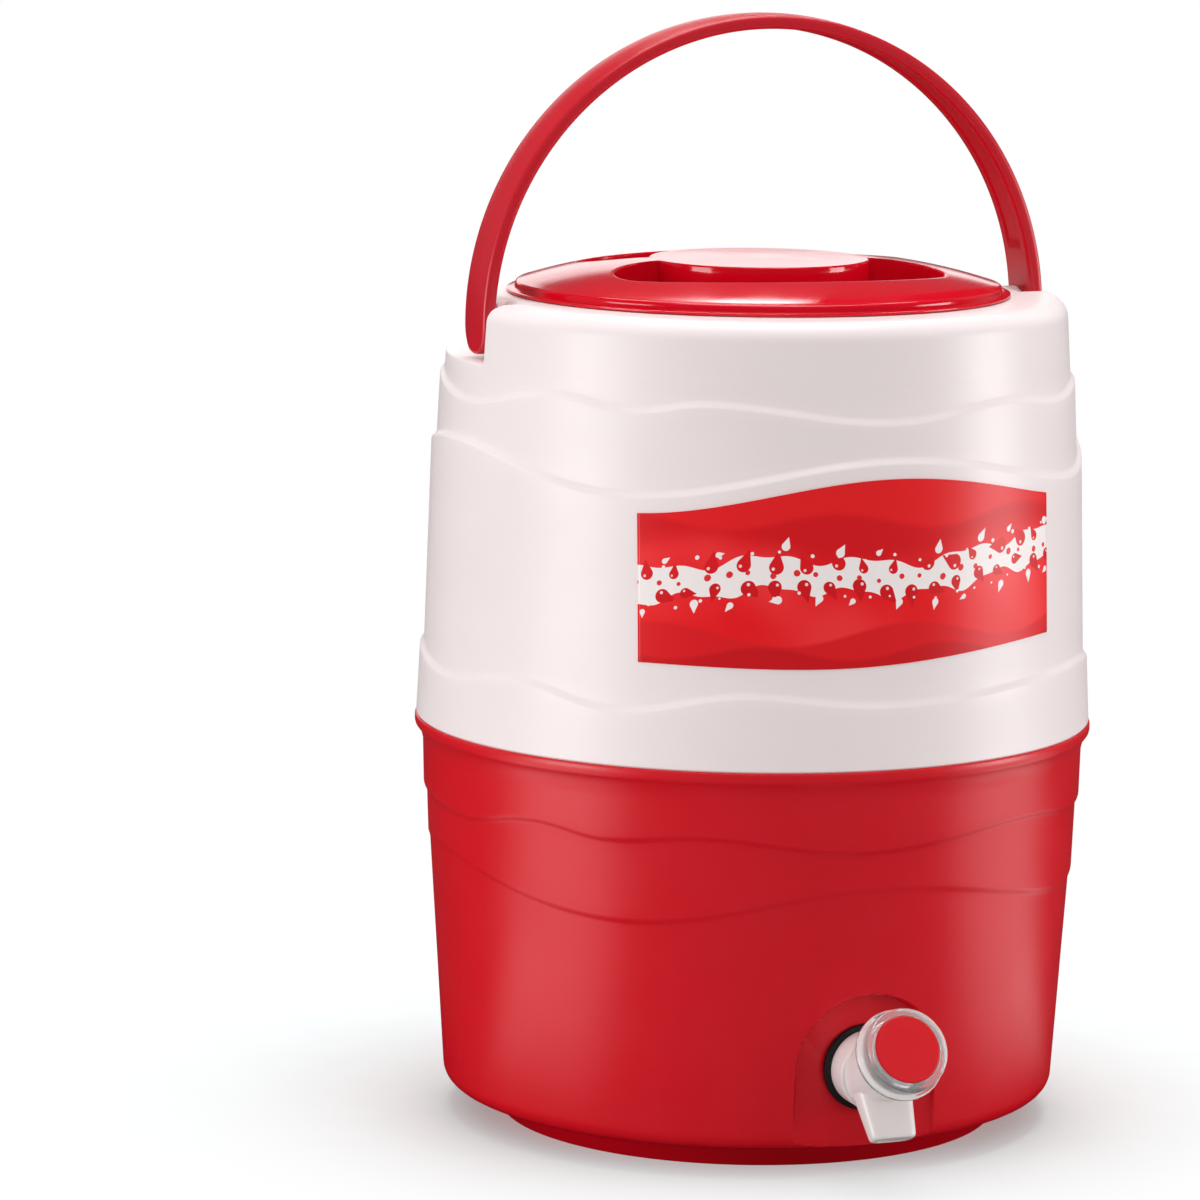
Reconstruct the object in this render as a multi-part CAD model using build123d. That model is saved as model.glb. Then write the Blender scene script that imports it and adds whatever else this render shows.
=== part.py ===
from build123d import *
import math
import os

# Insulated water jug: two moulded outer shells round a foam-filled wall and a
# food-grade liner, a plug-in lid, a hoop handle that folds back, and a push tap.
# Millimetres. The origin is the middle of the foot, +Z is up, the tap faces -Y
# and the handle turns about X. Angles round the body start at the front and
# grow towards +X.

# Body
body_height = 370.0
seam_height = 180.6
foot_height = 12.5
body_radius = 151.0
full_turn = 360

# How far each tier tapers over its height (draft) and steps in from the one beside it
skirt_draft = 1.4
skirt_step = 1.8
belly_draft = 2.9
belly_step = 2.2
band_draft = 1.4
band_step = 1.9
collar_draft = 2.4
rim_step = 2.8
rim_draft = 0.8
waist_step = 1.4
waist_draft = 1.0
tub_step = 3.0
tub_draft = 10.7

# Moulded waves: mean height, swing, and crests and troughs as shares of the swing
collar_wave_drop = 12.0
collar_wave_swing = 4.0
collar_wave_shares = [
    (-116, 0.9), (-84, -1.0), (-60, 1.05), (-44, 0.0), (-31, 0.95), (2, -1.0), (28, 0.45),
    (46, -0.4), (72, 0.9), (105, -0.9), (138, 0.8), (168, -0.6), (196, 0.5), (220, -0.8),
]
belly_wave_share = 0.7552
belly_wave_swing = 8.0
belly_wave_shares = [
    (-130, -0.5), (-87, 0.9), (-45, -0.95), (2, 1.0), (52, -0.95), (88, 0.9), (135, -0.9), (185, 0.9),
]
skirt_wave_share = 0.1738
skirt_wave_swing = 4.0
skirt_wave_shares = [
    (-115, 1.0), (-86, -0.5), (-65, 0.85), (-45, -1.0), (-23, 1.05), (0, -0.1), (50, 1.1),
    (88, -0.5), (120, 0.75), (152, -0.75), (184, 0.9), (214, -0.6),
]
waist_wave_share = 0.8195
waist_wave_swing = 3.5
waist_wave_shares = [
    (-110, -0.15), (-81, -0.8), (-61, 1.0), (-47, -0.1), (-30, 0.8), (-3, -1.05), (31, 0.85),
    (57, -0.55), (80, 0.7), (108, -1.0), (138, 0.85), (168, -0.7), (198, 0.85), (225, -0.85),
]
tub_wave_share = 0.6645
tub_wave_swing = 8.0
tub_wave_shares = [
    (-97, 1.0), (-44, -0.95), (0, 0.95), (54, -1.0), (100, 0.9), (145, -0.95), (190, 0.95), (225, -0.9),
]
wave_half_rise = 3.0
wave_reach = 1.0
wave_points = 72

# Shell walls, shoulder and handle bay
wall = 2.6
overrun = 30.0
fit = 0.3
shoulder_round = 8.0
bay_depth = 12.5
bay_front = 22.0
bay_round = 5.0
seam_chamfer = 0.8
lip_height = 10.0
lip_play = 0.2
bead_stand = 0.6
bead_height = 4.0
bead_slope = 4.5
base_round = 7.5

# Foot and filling hole
foot_setback = 21.8
foot_draft = 3.5
foot_wall = 3.0
plug_radius = 11.0
plug_head_reach = 3.0
plug_head = 1.8
plug_hole_share = 0.4106

# Liner
liner_wall = 2.2
liner_low_insulation = 24.3
liner_top_insulation = 20.9
liner_shoulder_drop = 34.0
liner_floor_gap = 2.8
neck_setback = 22.3
neck_depth = 36.0
neck_flange_reach = 7.8
liner_round = 9.0
rebate_depth = 2.4

# Tap bay and tap
tap_height = 48.3
tap_bay_radius = 32.5
tap_bay_depth = 4.3
shank_radius = 9.0
shank_wall = 3.5
shank_play = 0.2
thread_play = 0.05
washer_reach = 2.4
washer_thickness = 3.0
flange_reach = 1.6
barrel_length = 12.0
boss_reach = 2.5
boss_stand = 3.0
boss_depth = 5.5
inner_washer_reach = 6.5
inner_washer_thickness = 2.2
nut_reach = 6.0
nut_length = 8.0
shank_tail = 3.0
tap_tilt = 28.4
elbow_reach = 13.5
knob_reach = 38.0
housing_radius = 15.0
knob_cover = 8.0
spring_room_wall = 3.5
chamber_wall = 6.0
chamber_front = 12.0
gland_wall = 3.0
seat_wall = 3.0
seat_bore = 4.4
port_radius = 7.5
port_depth = 7.0
spout_drop = 31.0
spout_top_drop = 8.0
spout_top_width = 21.6
spout_top_depth = 14.0
spout_top_middle = 2.0
spout_width_taper = 3.2
spout_low_depth = 9.0
spout_low_middle = 4.4
spout_round = 2.0
spout_side_wall = 3.2
spout_bore_depth = 6.4

# Tap button
knob_wall = 2.6
knob_rim_step = 1.6
knob_rim = 3.0
knob_length = 11.5
knob_plate = 2.6
knob_groove = 0.6
knob_round = 1.2
knob_play = 0.3
badge_margin = 3.2
badge_recess = 1.4
badge_thickness = 1.2
badge_play = 0.1
knob_boss_wall = 2.5
knob_boss = 4.0
stem_radius = 2.5
stem_play = 0.05
stem_head_reach = 1.5
stem_head = 1.2
seal_margin = 1.1
seal_thickness = 2.0
o_ring_width = 2.4
o_ring_thickness = 2.0
spring_margin = 3.1
spring_wire = 0.6
spring_turns = 6

# Handle
handle_gap = 3.5
handle_thickness = 6.0
handle_width = 26.0
handle_drop_gap = 2.0
handle_round = 2.0
groove_share = 0.5
groove_depth = 0.9
groove_end_angle = 14.0
pin_radius = 4.0
pin_socket = 3.0
pin_depth = 12.6
pin_play = 0.05
bush_wall = 3.0
bush_flange_reach = 2.5
bush_flange = 2.0
bush_depth = 11.0
pivot_boss_margin = 1.5
pivot_boss_stand = 1.1
pivot_boss_depth = 13.0

# Lid
lid_setback = 12.5
lid_gap = 0.6
lid_lip = 0.9
lid_lip_reach = 3.8
lid_nose_rise = 4.4
lid_nose_round = 1.6
lid_shoulder_share = 0.7763
lid_shoulder_rise = 10.9
lid_top_share = 0.4621
lid_top_rise = 15.4
lid_wall = 2.0
lid_turned = -6.0
scoop_floor_rise = 2.0
scoop_end_margin = 18.2
scoop_front_margin = 30.2
scoop_round_share = 0.3333
scoop_boss_margin = 1.0
scoop_bridge = 8.0
plug_clearance = 1.6
plug_depth = 26.0
gasket_thickness = 1.6
gasket_reach = 1.8
gasket_width = 3.2
lid_flange_reach = 1.0
flange_thickness = 1.5
flange_drop = 0.2

# Label
label_thickness = 0.3
label_glue = 0.2
label_start_angle = -42.2
label_end_angle = 37.5
label_top_gap = 7.5
label_low_gap = 18.0
label_low_swing = 4.0
label_low_shares = [(-60, -0.2), (-42, -0.3), (-12, -0.6), (40, 1.0), (120, 0.0), (220, 0.0)]

# Heights that follow from these
ledge_height = body_height - handle_width
pivot_height = ledge_height + handle_width / 2 + handle_drop_gap
collar_wave_level = ledge_height - collar_wave_drop
belly_wave_level = seam_height + (ledge_height - seam_height) * belly_wave_share
skirt_wave_level = seam_height + (ledge_height - seam_height) * skirt_wave_share
waist_wave_level = seam_height * waist_wave_share
tub_wave_level = seam_height * tub_wave_share
neck_base_height = body_height - neck_depth
liner_shoulder_height = neck_base_height - liner_shoulder_drop
lid_nose_height = body_height + lid_nose_rise
lid_shoulder_height = body_height + lid_shoulder_rise
lid_top_height = body_height + lid_top_rise
scoop_floor = body_height + scoop_floor_rise
label_low_level = skirt_wave_level + label_low_gap

# Radii of the tiers, upper and lower end of each, outward and downward from the seam
skirt_low_radius = body_radius
skirt_top_radius = skirt_low_radius - skirt_draft
belly_low_radius = skirt_top_radius - skirt_step
belly_top_radius = belly_low_radius - belly_draft
band_low_radius = belly_top_radius - belly_step
band_top_radius = band_low_radius - band_draft
collar_low_radius = band_top_radius - band_step
collar_top_radius = collar_low_radius - collar_draft
rim_top_radius = body_radius - rim_step
rim_low_radius = rim_top_radius - rim_draft
waist_top_radius = rim_low_radius - waist_step
waist_low_radius = waist_top_radius - waist_draft
tub_top_radius = body_radius - tub_step
tub_low_radius = tub_top_radius - tub_draft
bead_radius = body_radius + bead_stand
foot_top_radius = tub_low_radius - foot_setback
foot_outer_radius = foot_top_radius - foot_draft
foot_inner_radius = foot_outer_radius - foot_wall
plug_head_radius = plug_radius + plug_head_reach
plug_hole_back = body_radius * plug_hole_share

# Collar, liner and neck
bay_radius = collar_top_radius - bay_depth
neck_radius = bay_radius - neck_setback
neck_inner_radius = neck_radius - liner_wall
neck_flange_radius = neck_radius + neck_flange_reach
liner_top_radius = belly_top_radius - liner_top_insulation
liner_low_radius = tub_low_radius - liner_low_insulation

# Tap
flange_radius = housing_radius + flange_reach
washer_radius = flange_radius + washer_reach
shank_bore = shank_radius - shank_wall
boss_radius = housing_radius + boss_reach
liner_bottom = tap_height - boss_radius - liner_floor_gap
tap_face = tub_low_radius - tap_bay_depth
boss_outside = liner_low_radius + boss_stand
boss_inside = liner_low_radius - boss_depth
inner_washer_radius = shank_radius + inner_washer_reach
nut_radius = shank_radius + nut_reach
elbow_distance = tap_face + elbow_reach
housing_front = knob_reach - knob_cover
spring_room_radius = housing_radius - spring_room_wall
spring_radius = spring_room_radius - spring_margin
chamber_radius = housing_radius - chamber_wall
spout_low_width = spout_top_width - spout_width_taper
spout_bore_width = spout_low_width - 2 * spout_side_wall
knob_radius = housing_radius + knob_play + knob_wall
knob_rim_radius = knob_radius + knob_rim_step
badge_radius = knob_radius - badge_margin
knob_boss_radius = stem_radius + knob_boss_wall
stem_head_radius = stem_radius + stem_head_reach
seal_radius = port_radius - seal_margin
o_ring_radius = stem_radius + o_ring_width

# Handle and its pivots
handle_radius = bay_radius + handle_gap + handle_thickness
groove_width = handle_width * groove_share
pivot_boss_face = bay_radius + pivot_boss_stand
pin_inner = pivot_boss_face - pin_depth
bush_radius = pin_radius + bush_wall
bush_flange_radius = bush_radius + bush_flange_reach
pivot_boss_radius = bush_flange_radius + pivot_boss_margin

# Lid
lid_radius = bay_radius - lid_setback
lid_nose_radius = lid_radius - lid_lip_reach
lid_shoulder_radius = lid_nose_radius * lid_shoulder_share
lid_top_radius = lid_nose_radius * lid_top_share
scoop_length = lid_nose_radius - scoop_end_margin
scoop_width = lid_nose_radius - scoop_front_margin
scoop_round = scoop_width * scoop_round_share
scoop_boss_radius = lid_top_radius - scoop_boss_margin
gasket_outer_radius = neck_radius + gasket_reach
gasket_inner_radius = gasket_outer_radius - gasket_width
flange_outer_radius = neck_radius + lid_flange_reach
flange_top = body_height - flange_drop
gasket_top = flange_top + gasket_thickness
lid_base_height = body_height + lid_gap

elbow = (0, -elbow_distance, tap_height)
tilt = math.radians(tap_tilt)
knob_axis = (0, -math.cos(tilt), math.sin(tilt))
knob_plane = Plane(origin=elbow, x_dir=(1, 0, 0), z_dir=knob_axis)
tap_plane = Plane(origin=(0, 0, tap_height), x_dir=(1, 0, 0), z_dir=(0, -1, 0))

# Each tier as upper height, upper radius, lower height, lower radius
collar_tier = (body_height, collar_top_radius, collar_wave_level, collar_low_radius)
band_tier = (collar_wave_level, band_top_radius, belly_wave_level, band_low_radius)
belly_tier = (belly_wave_level, belly_top_radius, skirt_wave_level, belly_low_radius)
skirt_tier = (skirt_wave_level, skirt_top_radius, seam_height, skirt_low_radius)
rim_tier = (seam_height, rim_top_radius, waist_wave_level, rim_low_radius)
waist_tier = (waist_wave_level, waist_top_radius, tub_wave_level, waist_low_radius)
tub_tier = (seam_height, tub_top_radius, foot_height, tub_low_radius)

collar_wave = (collar_wave_level, collar_wave_swing, collar_wave_shares)
belly_wave = (belly_wave_level, belly_wave_swing, belly_wave_shares)
skirt_wave = (skirt_wave_level, skirt_wave_swing, skirt_wave_shares)
waist_wave = (waist_wave_level, waist_wave_swing, waist_wave_shares)
tub_wave = (tub_wave_level, tub_wave_swing, tub_wave_shares)
label_low_wave = (label_low_level, label_low_swing, label_low_shares)


def revolved(points):
    """Solid turned about the upright axis from (radius, height) corners."""
    outline = Polyline(*[(radius, 0, height) for radius, height in points], close=True)
    return revolve(make_face(outline), Axis.Z)


def revolved_rounded(points, corner, radius):
    """The same, with one corner of the outline rounded."""
    outline = Polyline(*[(r, 0, h) for r, h in points], close=True)
    face = make_face(outline)
    nearest = face.vertices().sort_by_distance((corner[0], 0, corner[1]))[0]
    return revolve(fillet(nearest, radius), Axis.Z)


def tier_radius(tier, height):
    """Radius of a tier's straight side at a height, also beyond its two ends."""
    high, high_radius, low, low_radius = tier
    share = (height - low) / (high - low)
    return low_radius + (high_radius - low_radius) * share


def tier_body(tier, low, high, inset=0):
    """Solid frustum of a tier between two heights."""
    low_radius = tier_radius(tier, low) - inset
    high_radius = tier_radius(tier, high) - inset
    return revolved([(0, low), (low_radius, low), (high_radius, high), (0, high)])


def wave_height(wave, angle):
    """Height of a wave: a half cosine from each crest or trough to the next."""
    level, swing, shares = wave
    start = shares[0][0]
    turned = start + (angle - start) % full_turn
    stops = shares + [(start + full_turn, shares[0][1])]
    for (angle_a, share_a), (angle_b, share_b) in zip(stops, stops[1:]):
        if turned <= angle_b:
            along = (turned - angle_a) / (angle_b - angle_a)
            blend = (1 - math.cos(math.pi * along)) / 2
            return level + swing * (share_a + (share_b - share_a) * blend)
    return level + swing * shares[0][1]


def wave_low(wave):
    """Lowest height of the sloping step that follows a wave."""
    level, swing, shares = wave
    return level + swing * min(share for _, share in shares) - wave_half_rise


def wave_high(wave):
    """Highest height of the sloping step that follows a wave."""
    level, swing, shares = wave
    return level + swing * max(share for _, share in shares) + wave_half_rise


def wave_loop(wave, radius, lift):
    """Closed smooth line round the body that follows a wave."""
    angles = [full_turn * k / wave_points for k in range(wave_points)]
    turns = [math.radians(angle) for angle in angles]
    heights = [wave_height(wave, angle) + lift for angle in angles]
    points = [
        (radius * math.sin(turn), -radius * math.cos(turn), height)
        for turn, height in zip(turns, heights)
    ]
    return Spline(*points, periodic=True)


def wave_cutter(wave, inner_radius, outer_radius, side, half_rise):
    """Everything above (side 1) or below (side -1) a sloping wavy ring."""
    stretch = 1 + 2 * wave_reach / (outer_radius - inner_radius)
    lift = side * half_rise * stretch
    inner_loop = wave_loop(wave, inner_radius - wave_reach, lift)
    outer_loop = wave_loop(wave, outer_radius + wave_reach, -lift)
    ring = Face.make_surface_from_curves(inner_loop, outer_loop)
    return extrude(ring, amount=overrun, dir=(0, 0, side))


def step_cutter(wave, inner_tier, outer_tier, side):
    """Cutter whose wavy face slopes from one tier's side to the other's."""
    level = wave[0]
    inner_radius = tier_radius(inner_tier, level)
    outer_radius = tier_radius(outer_tier, level)
    return wave_cutter(wave, inner_radius, outer_radius, side, wave_half_rise)


def handle_bay(grow):
    """Space round the back of the collar, where the handle folds down.

    grow moves its faces outwards, so that it leaves a wall when it is taken from the inside.
    """
    far = skirt_low_radius + overrun
    low = ledge_height - grow
    top = body_height - grow
    core_radius = bay_radius - grow
    slab = revolved([(0, low), (far, low), (far, top + overrun), (0, top + overrun)])
    core_points = [(0, low - wall), (core_radius, low - wall), (core_radius, top), (0, top)]
    core = revolved_rounded(core_points, (core_radius, top), shoulder_round - grow)
    block = Pos(0, -(bay_front + grow), low - wall) * Box(
        2 * far, far, top - low + wall, align=(Align.CENTER, Align.MAX, Align.MIN)
    )
    edge = block.edges().filter_by(Axis.X).group_by(Axis.Z)[-1].sort_by(Axis.Y)[-1]
    block = fillet(edge, bay_round - grow)
    return slab - core - block


def upper_outer():
    """Outer form of the upper shell: four tiers with wavy steps, and the collar's bay."""
    collar_foot = wave_low(collar_wave) - wall
    top_radius = tier_radius(collar_tier, body_height)
    points = [
        (0, collar_foot),
        (tier_radius(collar_tier, collar_foot), collar_foot),
        (top_radius, body_height),
        (0, body_height),
    ]
    collar = revolved_rounded(points, (top_radius, body_height), shoulder_round)
    band = tier_body(band_tier, wave_low(belly_wave) - wall, wave_high(collar_wave) + wall)
    band -= step_cutter(collar_wave, collar_tier, band_tier, 1)
    belly = tier_body(belly_tier, wave_low(skirt_wave) - wall, wave_high(belly_wave) + wall)
    belly -= step_cutter(belly_wave, band_tier, belly_tier, 1)
    skirt_top = wave_high(skirt_wave) + wall
    low_radius = tier_radius(skirt_tier, seam_height)
    skirt = revolved([
        (0, seam_height),
        (low_radius - seam_chamfer, seam_height),
        (tier_radius(skirt_tier, seam_height + seam_chamfer), seam_height + seam_chamfer),
        (tier_radius(skirt_tier, skirt_top), skirt_top),
        (0, skirt_top),
    ])
    skirt -= step_cutter(skirt_wave, belly_tier, skirt_tier, 1)
    return collar + band + belly + skirt - handle_bay(0)


def upper_inner(inset, low):
    """Inside of the upper shell, set in from its tiers, down to a given height."""
    top = body_height - inset
    skirt_end = wave_low(skirt_wave)
    belly_end = wave_low(belly_wave)
    band_end = wave_low(collar_wave)
    top_radius = tier_radius(collar_tier, body_height) - inset
    points = [
        (0, low),
        (tier_radius(skirt_tier, low) - inset, low),
        (tier_radius(skirt_tier, skirt_end) - inset, skirt_end - wall),
        (tier_radius(belly_tier, skirt_end) - inset, skirt_end),
        (tier_radius(belly_tier, belly_end) - inset, belly_end - wall),
        (tier_radius(band_tier, belly_end) - inset, belly_end),
        (tier_radius(band_tier, band_end) - inset, band_end - wall),
        (tier_radius(collar_tier, band_end) - inset, band_end),
        (top_radius, top),
        (0, top),
    ]
    body = revolved_rounded(points, (top_radius, top), shoulder_round - inset)
    return body - handle_bay(inset)


def along_x(start, end, radius, height):
    """Round bar parallel to X."""
    bar = Cylinder(radius, abs(end - start), align=(Align.CENTER, Align.CENTER, Align.MIN))
    return Pos(min(start, end), 0, height) * Rot(0, 90, 0) * bar


def pivot_bosses(grow):
    """Two round bosses in the collar that carry the handle's bushes."""
    inner = pivot_boss_face - pivot_boss_depth - grow
    outer = pivot_boss_face + grow
    radius = pivot_boss_radius + grow
    return (
        along_x(inner, outer, radius, pivot_height)
        + along_x(-outer, -inner, radius, pivot_height)
    )


def upper_shell():
    """White upper shell, from the seam to the shoulder and the mouth."""
    rebate_radius = neck_flange_radius + fit
    rebate_floor = body_height - rebate_depth
    mouth_radius = neck_radius + fit
    shell = upper_outer() - upper_inner(wall, seam_height)
    shell += revolved([
        (mouth_radius, rebate_floor - wall),
        (rebate_radius + wall, rebate_floor - wall),
        (rebate_radius + wall, body_height - wall),
        (mouth_radius, body_height - wall),
    ])
    shell += pivot_bosses(0)
    shell -= Pos(0, 0, rebate_floor) * Cylinder(
        rebate_radius, overrun, align=(Align.CENTER, Align.CENTER, Align.MIN)
    )
    shell -= Pos(0, 0, rebate_floor) * Cylinder(mouth_radius, overrun)
    bore = bush_radius + pin_play
    reach = pivot_boss_face + overrun
    inner = pivot_boss_face - pivot_boss_depth - wall
    shell -= along_x(inner, reach, bore, pivot_height)
    shell -= along_x(-reach, -inner, bore, pivot_height)
    return shell


def tap_bay(grow, front, back):
    """Arch over the tap: a half round on straight sides, as a block along Y."""
    radius = tap_bay_radius + grow
    arch = Circle(radius) + Pos(0, -tap_height / 2) * Rectangle(2 * radius, tap_height)
    return tap_plane.location * extrude(Pos(0, 0, back) * arch, amount=front - back)


def lower_outer():
    """Outer form of the lower shell: three tiers with wavy steps, and the rim bead."""
    rim_low = wave_low(waist_wave) - wall
    bead_low = seam_height - bead_height
    bead_foot = bead_low - bead_slope
    rim = revolved([
        (0, rim_low),
        (tier_radius(rim_tier, rim_low), rim_low),
        (tier_radius(rim_tier, bead_foot), bead_foot),
        (bead_radius, bead_low),
        (bead_radius, seam_height - seam_chamfer),
        (bead_radius - seam_chamfer, seam_height),
        (0, seam_height),
    ])
    rim -= step_cutter(waist_wave, waist_tier, rim_tier, -1)
    waist = tier_body(waist_tier, wave_low(tub_wave) - wall, wave_high(waist_wave) + wall)
    waist -= step_cutter(tub_wave, tub_tier, waist_tier, -1)
    tub_top = wave_high(tub_wave) + wall
    low_radius = tier_radius(tub_tier, foot_height)
    points = [
        (0, foot_height),
        (low_radius, foot_height),
        (tier_radius(tub_tier, tub_top), tub_top),
        (0, tub_top),
    ]
    tub = revolved_rounded(points, (low_radius, foot_height), base_round)
    return rim + waist + tub


def lower_inner(inset, low, high):
    """Inside of the lower shell, set in from the lowest tier."""
    low_radius = tier_radius(tub_tier, low) - inset
    high_radius = tier_radius(tub_tier, high) - inset
    points = [(0, low), (low_radius, low), (high_radius, high), (0, high)]
    return revolved_rounded(points, (low_radius, low), base_round - wall)


def foot_ring():
    """Ring under the base that the jug stands on."""
    return revolved([
        (foot_inner_radius, 0),
        (foot_outer_radius, 0),
        (foot_top_radius, foot_height + wall / 2),
        (foot_inner_radius, foot_height + wall / 2),
    ])


def lower_shell():
    """Red lower shell, with the lip that the upper shell fits over."""
    lip_top = seam_height + lip_height
    form = lower_outer()
    lip = tier_body(skirt_tier, seam_height - wall, lip_top, wall + lip_play)
    shell = form + lip - lower_inner(wall, foot_height + wall, lip_top + overrun)
    shell += tap_bay(wall, tap_face + overrun, tap_face - wall) & form
    shell -= tap_bay(0, tap_face + overrun, tap_face)
    shell += foot_ring()
    shell -= shank_hole(shank_radius + shank_play, tap_face - overrun, tap_face + overrun)
    shell -= Pos(0, plug_hole_back, foot_height) * Cylinder(plug_radius, overrun)
    return shell


def shank_hole(radius, near, far):
    """Round bar along the tap's shank, between two distances from the axis."""
    bar = Cylinder(radius, far - near, align=(Align.CENTER, Align.CENTER, Align.MIN))
    return tap_plane.location * (Pos(0, 0, near) * bar)


def foam_fill_plug():
    """Snap-in disc that closes the hole through which the foam is poured."""
    neck_of_plug = plug_radius - fit
    plug = revolved([
        (0, foot_height - plug_head),
        (plug_head_radius, foot_height - plug_head),
        (plug_head_radius, foot_height),
        (neck_of_plug, foot_height),
        (neck_of_plug, foot_height + wall),
        (0, foot_height + wall),
    ])
    return Pos(0, plug_hole_back, 0) * plug


def liner_form(grow):
    """Outer form of the liner up to its flange, moved outwards by grow."""
    low = liner_bottom - grow
    low_radius = liner_low_radius + grow
    points = [
        (0, low),
        (low_radius, low),
        (liner_top_radius + grow, liner_shoulder_height),
        (neck_radius + grow, neck_base_height),
        (neck_radius + grow, flange_top + overrun),
        (0, flange_top + overrun),
    ]
    return revolved_rounded(points, (low_radius, low), liner_round + grow)


def inner_liner():
    """Food-grade inner vessel, hung from its neck flange."""
    flange_under = body_height - rebate_depth
    liner = liner_form(0)
    liner -= Pos(0, 0, flange_top) * Cylinder(
        neck_radius + overrun, 2 * overrun, align=(Align.CENTER, Align.CENTER, Align.MIN)
    )
    liner += revolved([
        (neck_inner_radius, flange_under),
        (neck_flange_radius, flange_under),
        (neck_flange_radius, flange_top),
        (neck_inner_radius, flange_top),
    ])
    liner += shank_hole(boss_radius, boss_inside + liner_wall, boss_outside)
    liner -= liner_form(-liner_wall)
    liner += shank_hole(boss_radius, boss_inside, boss_outside)
    liner -= shank_hole(shank_radius + shank_play, boss_inside - overrun, boss_outside + overrun)
    return liner


def foam_core():
    """Rigid foam that fills the wall between the shells and the liner."""
    lip_top = seam_height + lip_height
    inset = wall + fit
    join = lip_top + fit
    foam = lower_inner(inset, foot_height + inset, join) + upper_inner(inset, join)
    foam -= liner_form(fit)
    foam -= shank_hole(boss_radius + fit, boss_inside - overrun, boss_outside + fit)
    foam -= shank_hole(shank_radius + fit, boss_inside, tap_face)
    foam -= tap_bay(wall + fit, tap_face + overrun, tap_face - wall - fit)
    foam -= pivot_bosses(fit)
    rebate_low = body_height - rebate_depth - wall - fit
    foam -= Pos(0, 0, rebate_low) * Cylinder(
        neck_flange_radius + wall + 2 * fit, overrun, align=(Align.CENTER, Align.CENTER, Align.MIN)
    )
    return foam


def label():
    """Printed film on the belly, its upper edge parallel to the wave above it."""
    low = label_low_level - 2 * label_low_swing
    high = wave_high(belly_wave)
    inner = -label_glue
    outer = -(label_glue + label_thickness)
    film = tier_body(belly_tier, low, high, outer) - tier_body(belly_tier, low, high, inner)
    far = skirt_low_radius + overrun
    middle = (label_start_angle + label_end_angle) / 2
    corners = [(0, 0)]
    for angle, reach in ((label_start_angle, far), (middle, 2 * far), (label_end_angle, far)):
        turn = math.radians(angle)
        corners.append((reach * math.sin(turn), -reach * math.cos(turn)))
    wedge = extrude(make_face(Polyline(*corners, close=True)), amount=body_height)
    film &= wedge
    level, swing, shares = belly_wave
    top_wave = (level - label_top_gap, swing, shares)
    radius = tier_radius(belly_tier, level)
    low_radius = tier_radius(belly_tier, label_low_level)
    film -= wave_cutter(top_wave, radius - wall, low_radius, 1, 0)
    film -= wave_cutter(label_low_wave, radius, low_radius + wall, -1, 0)
    return film


def tap_outer_washer():
    """Black rubber washer between the shell and the tap's flange."""
    ring = shank_hole(washer_radius, tap_face, tap_face + washer_thickness)
    return ring - shank_hole(shank_radius + shank_play, tap_face - wall, tap_face + overrun)


def tap_inner_washer():
    """Rubber washer between the liner and the nut."""
    back = boss_inside - inner_washer_thickness
    ring = shank_hole(inner_washer_radius, back, boss_inside)
    return ring - shank_hole(shank_radius + shank_play, back - wall, boss_inside + wall)


def tap_nut():
    """Six-sided nut that clamps the tap from inside the liner."""
    face = boss_inside - inner_washer_thickness
    hexagon = extrude(RegularPolygon(nut_radius, 6), amount=nut_length)
    nut = tap_plane.location * (Pos(0, 0, face - nut_length) * hexagon)
    return nut - shank_hole(shank_radius + thread_play, face - 2 * nut_length, face + wall)


def knob_turned(points):
    """Solid turned about the button's axis from (radius, distance from elbow) corners."""
    return knob_plane.location * revolved(points)


def knob_bar(radius, near, far):
    """Round bar along the button's axis."""
    return knob_turned([(0, near), (radius, near), (radius, far), (0, far)])


def spout_section(drop, middle, width, depth, radius):
    """Rounded oblong across the spout, at a drop below the button's axis."""
    plane = Plane(origin=(0, -drop, middle), x_dir=(1, 0, 0), z_dir=(0, -1, 0))
    return plane * RectangleRounded(width, depth, radius)


def spout():
    """Tapered oblong spout, square to the button's axis."""
    top = spout_section(
        spout_top_drop, spout_top_middle, spout_top_width, spout_top_depth, spout_round
    )
    low = spout_section(
        spout_drop, spout_low_middle, spout_low_width, spout_low_depth, spout_round
    )
    return knob_plane.location * loft([top, low])


def spout_bore():
    """Oblong water way down through the spout."""
    top = spout_section(0, spout_low_middle, spout_bore_width, spout_bore_depth, spout_round)
    return knob_plane.location * extrude(top, amount=spout_drop + wall, dir=(0, -1, 0))


def tap_body():
    """White tap: shank, barrel, button housing and spout, with its water ways."""
    seat_face = tap_face + washer_thickness
    tail = boss_inside - inner_washer_thickness - nut_length - shank_tail
    body = shank_hole(flange_radius, seat_face, seat_face + barrel_length)
    body += knob_bar(housing_radius, -port_depth / 2, housing_front)
    body += spout()
    body += shank_hole(shank_radius, tail, seat_face + wall)
    body -= shank_hole(shank_bore, tail - wall, seat_face + wall)
    body -= knob_bar(port_radius, -seat_wall - port_depth, -seat_wall)
    body -= knob_bar(seat_bore, -seat_wall - wall, wall)
    body -= knob_bar(chamber_radius, 0, chamber_front)
    body -= knob_bar(stem_radius + stem_play, chamber_front - wall, housing_front)
    body -= knob_bar(
        o_ring_radius + stem_play, chamber_front + gland_wall - o_ring_thickness, housing_front
    )
    body -= knob_bar(spring_room_radius, chamber_front + gland_wall, housing_front + wall)
    body -= spout_bore()
    return body


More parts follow.
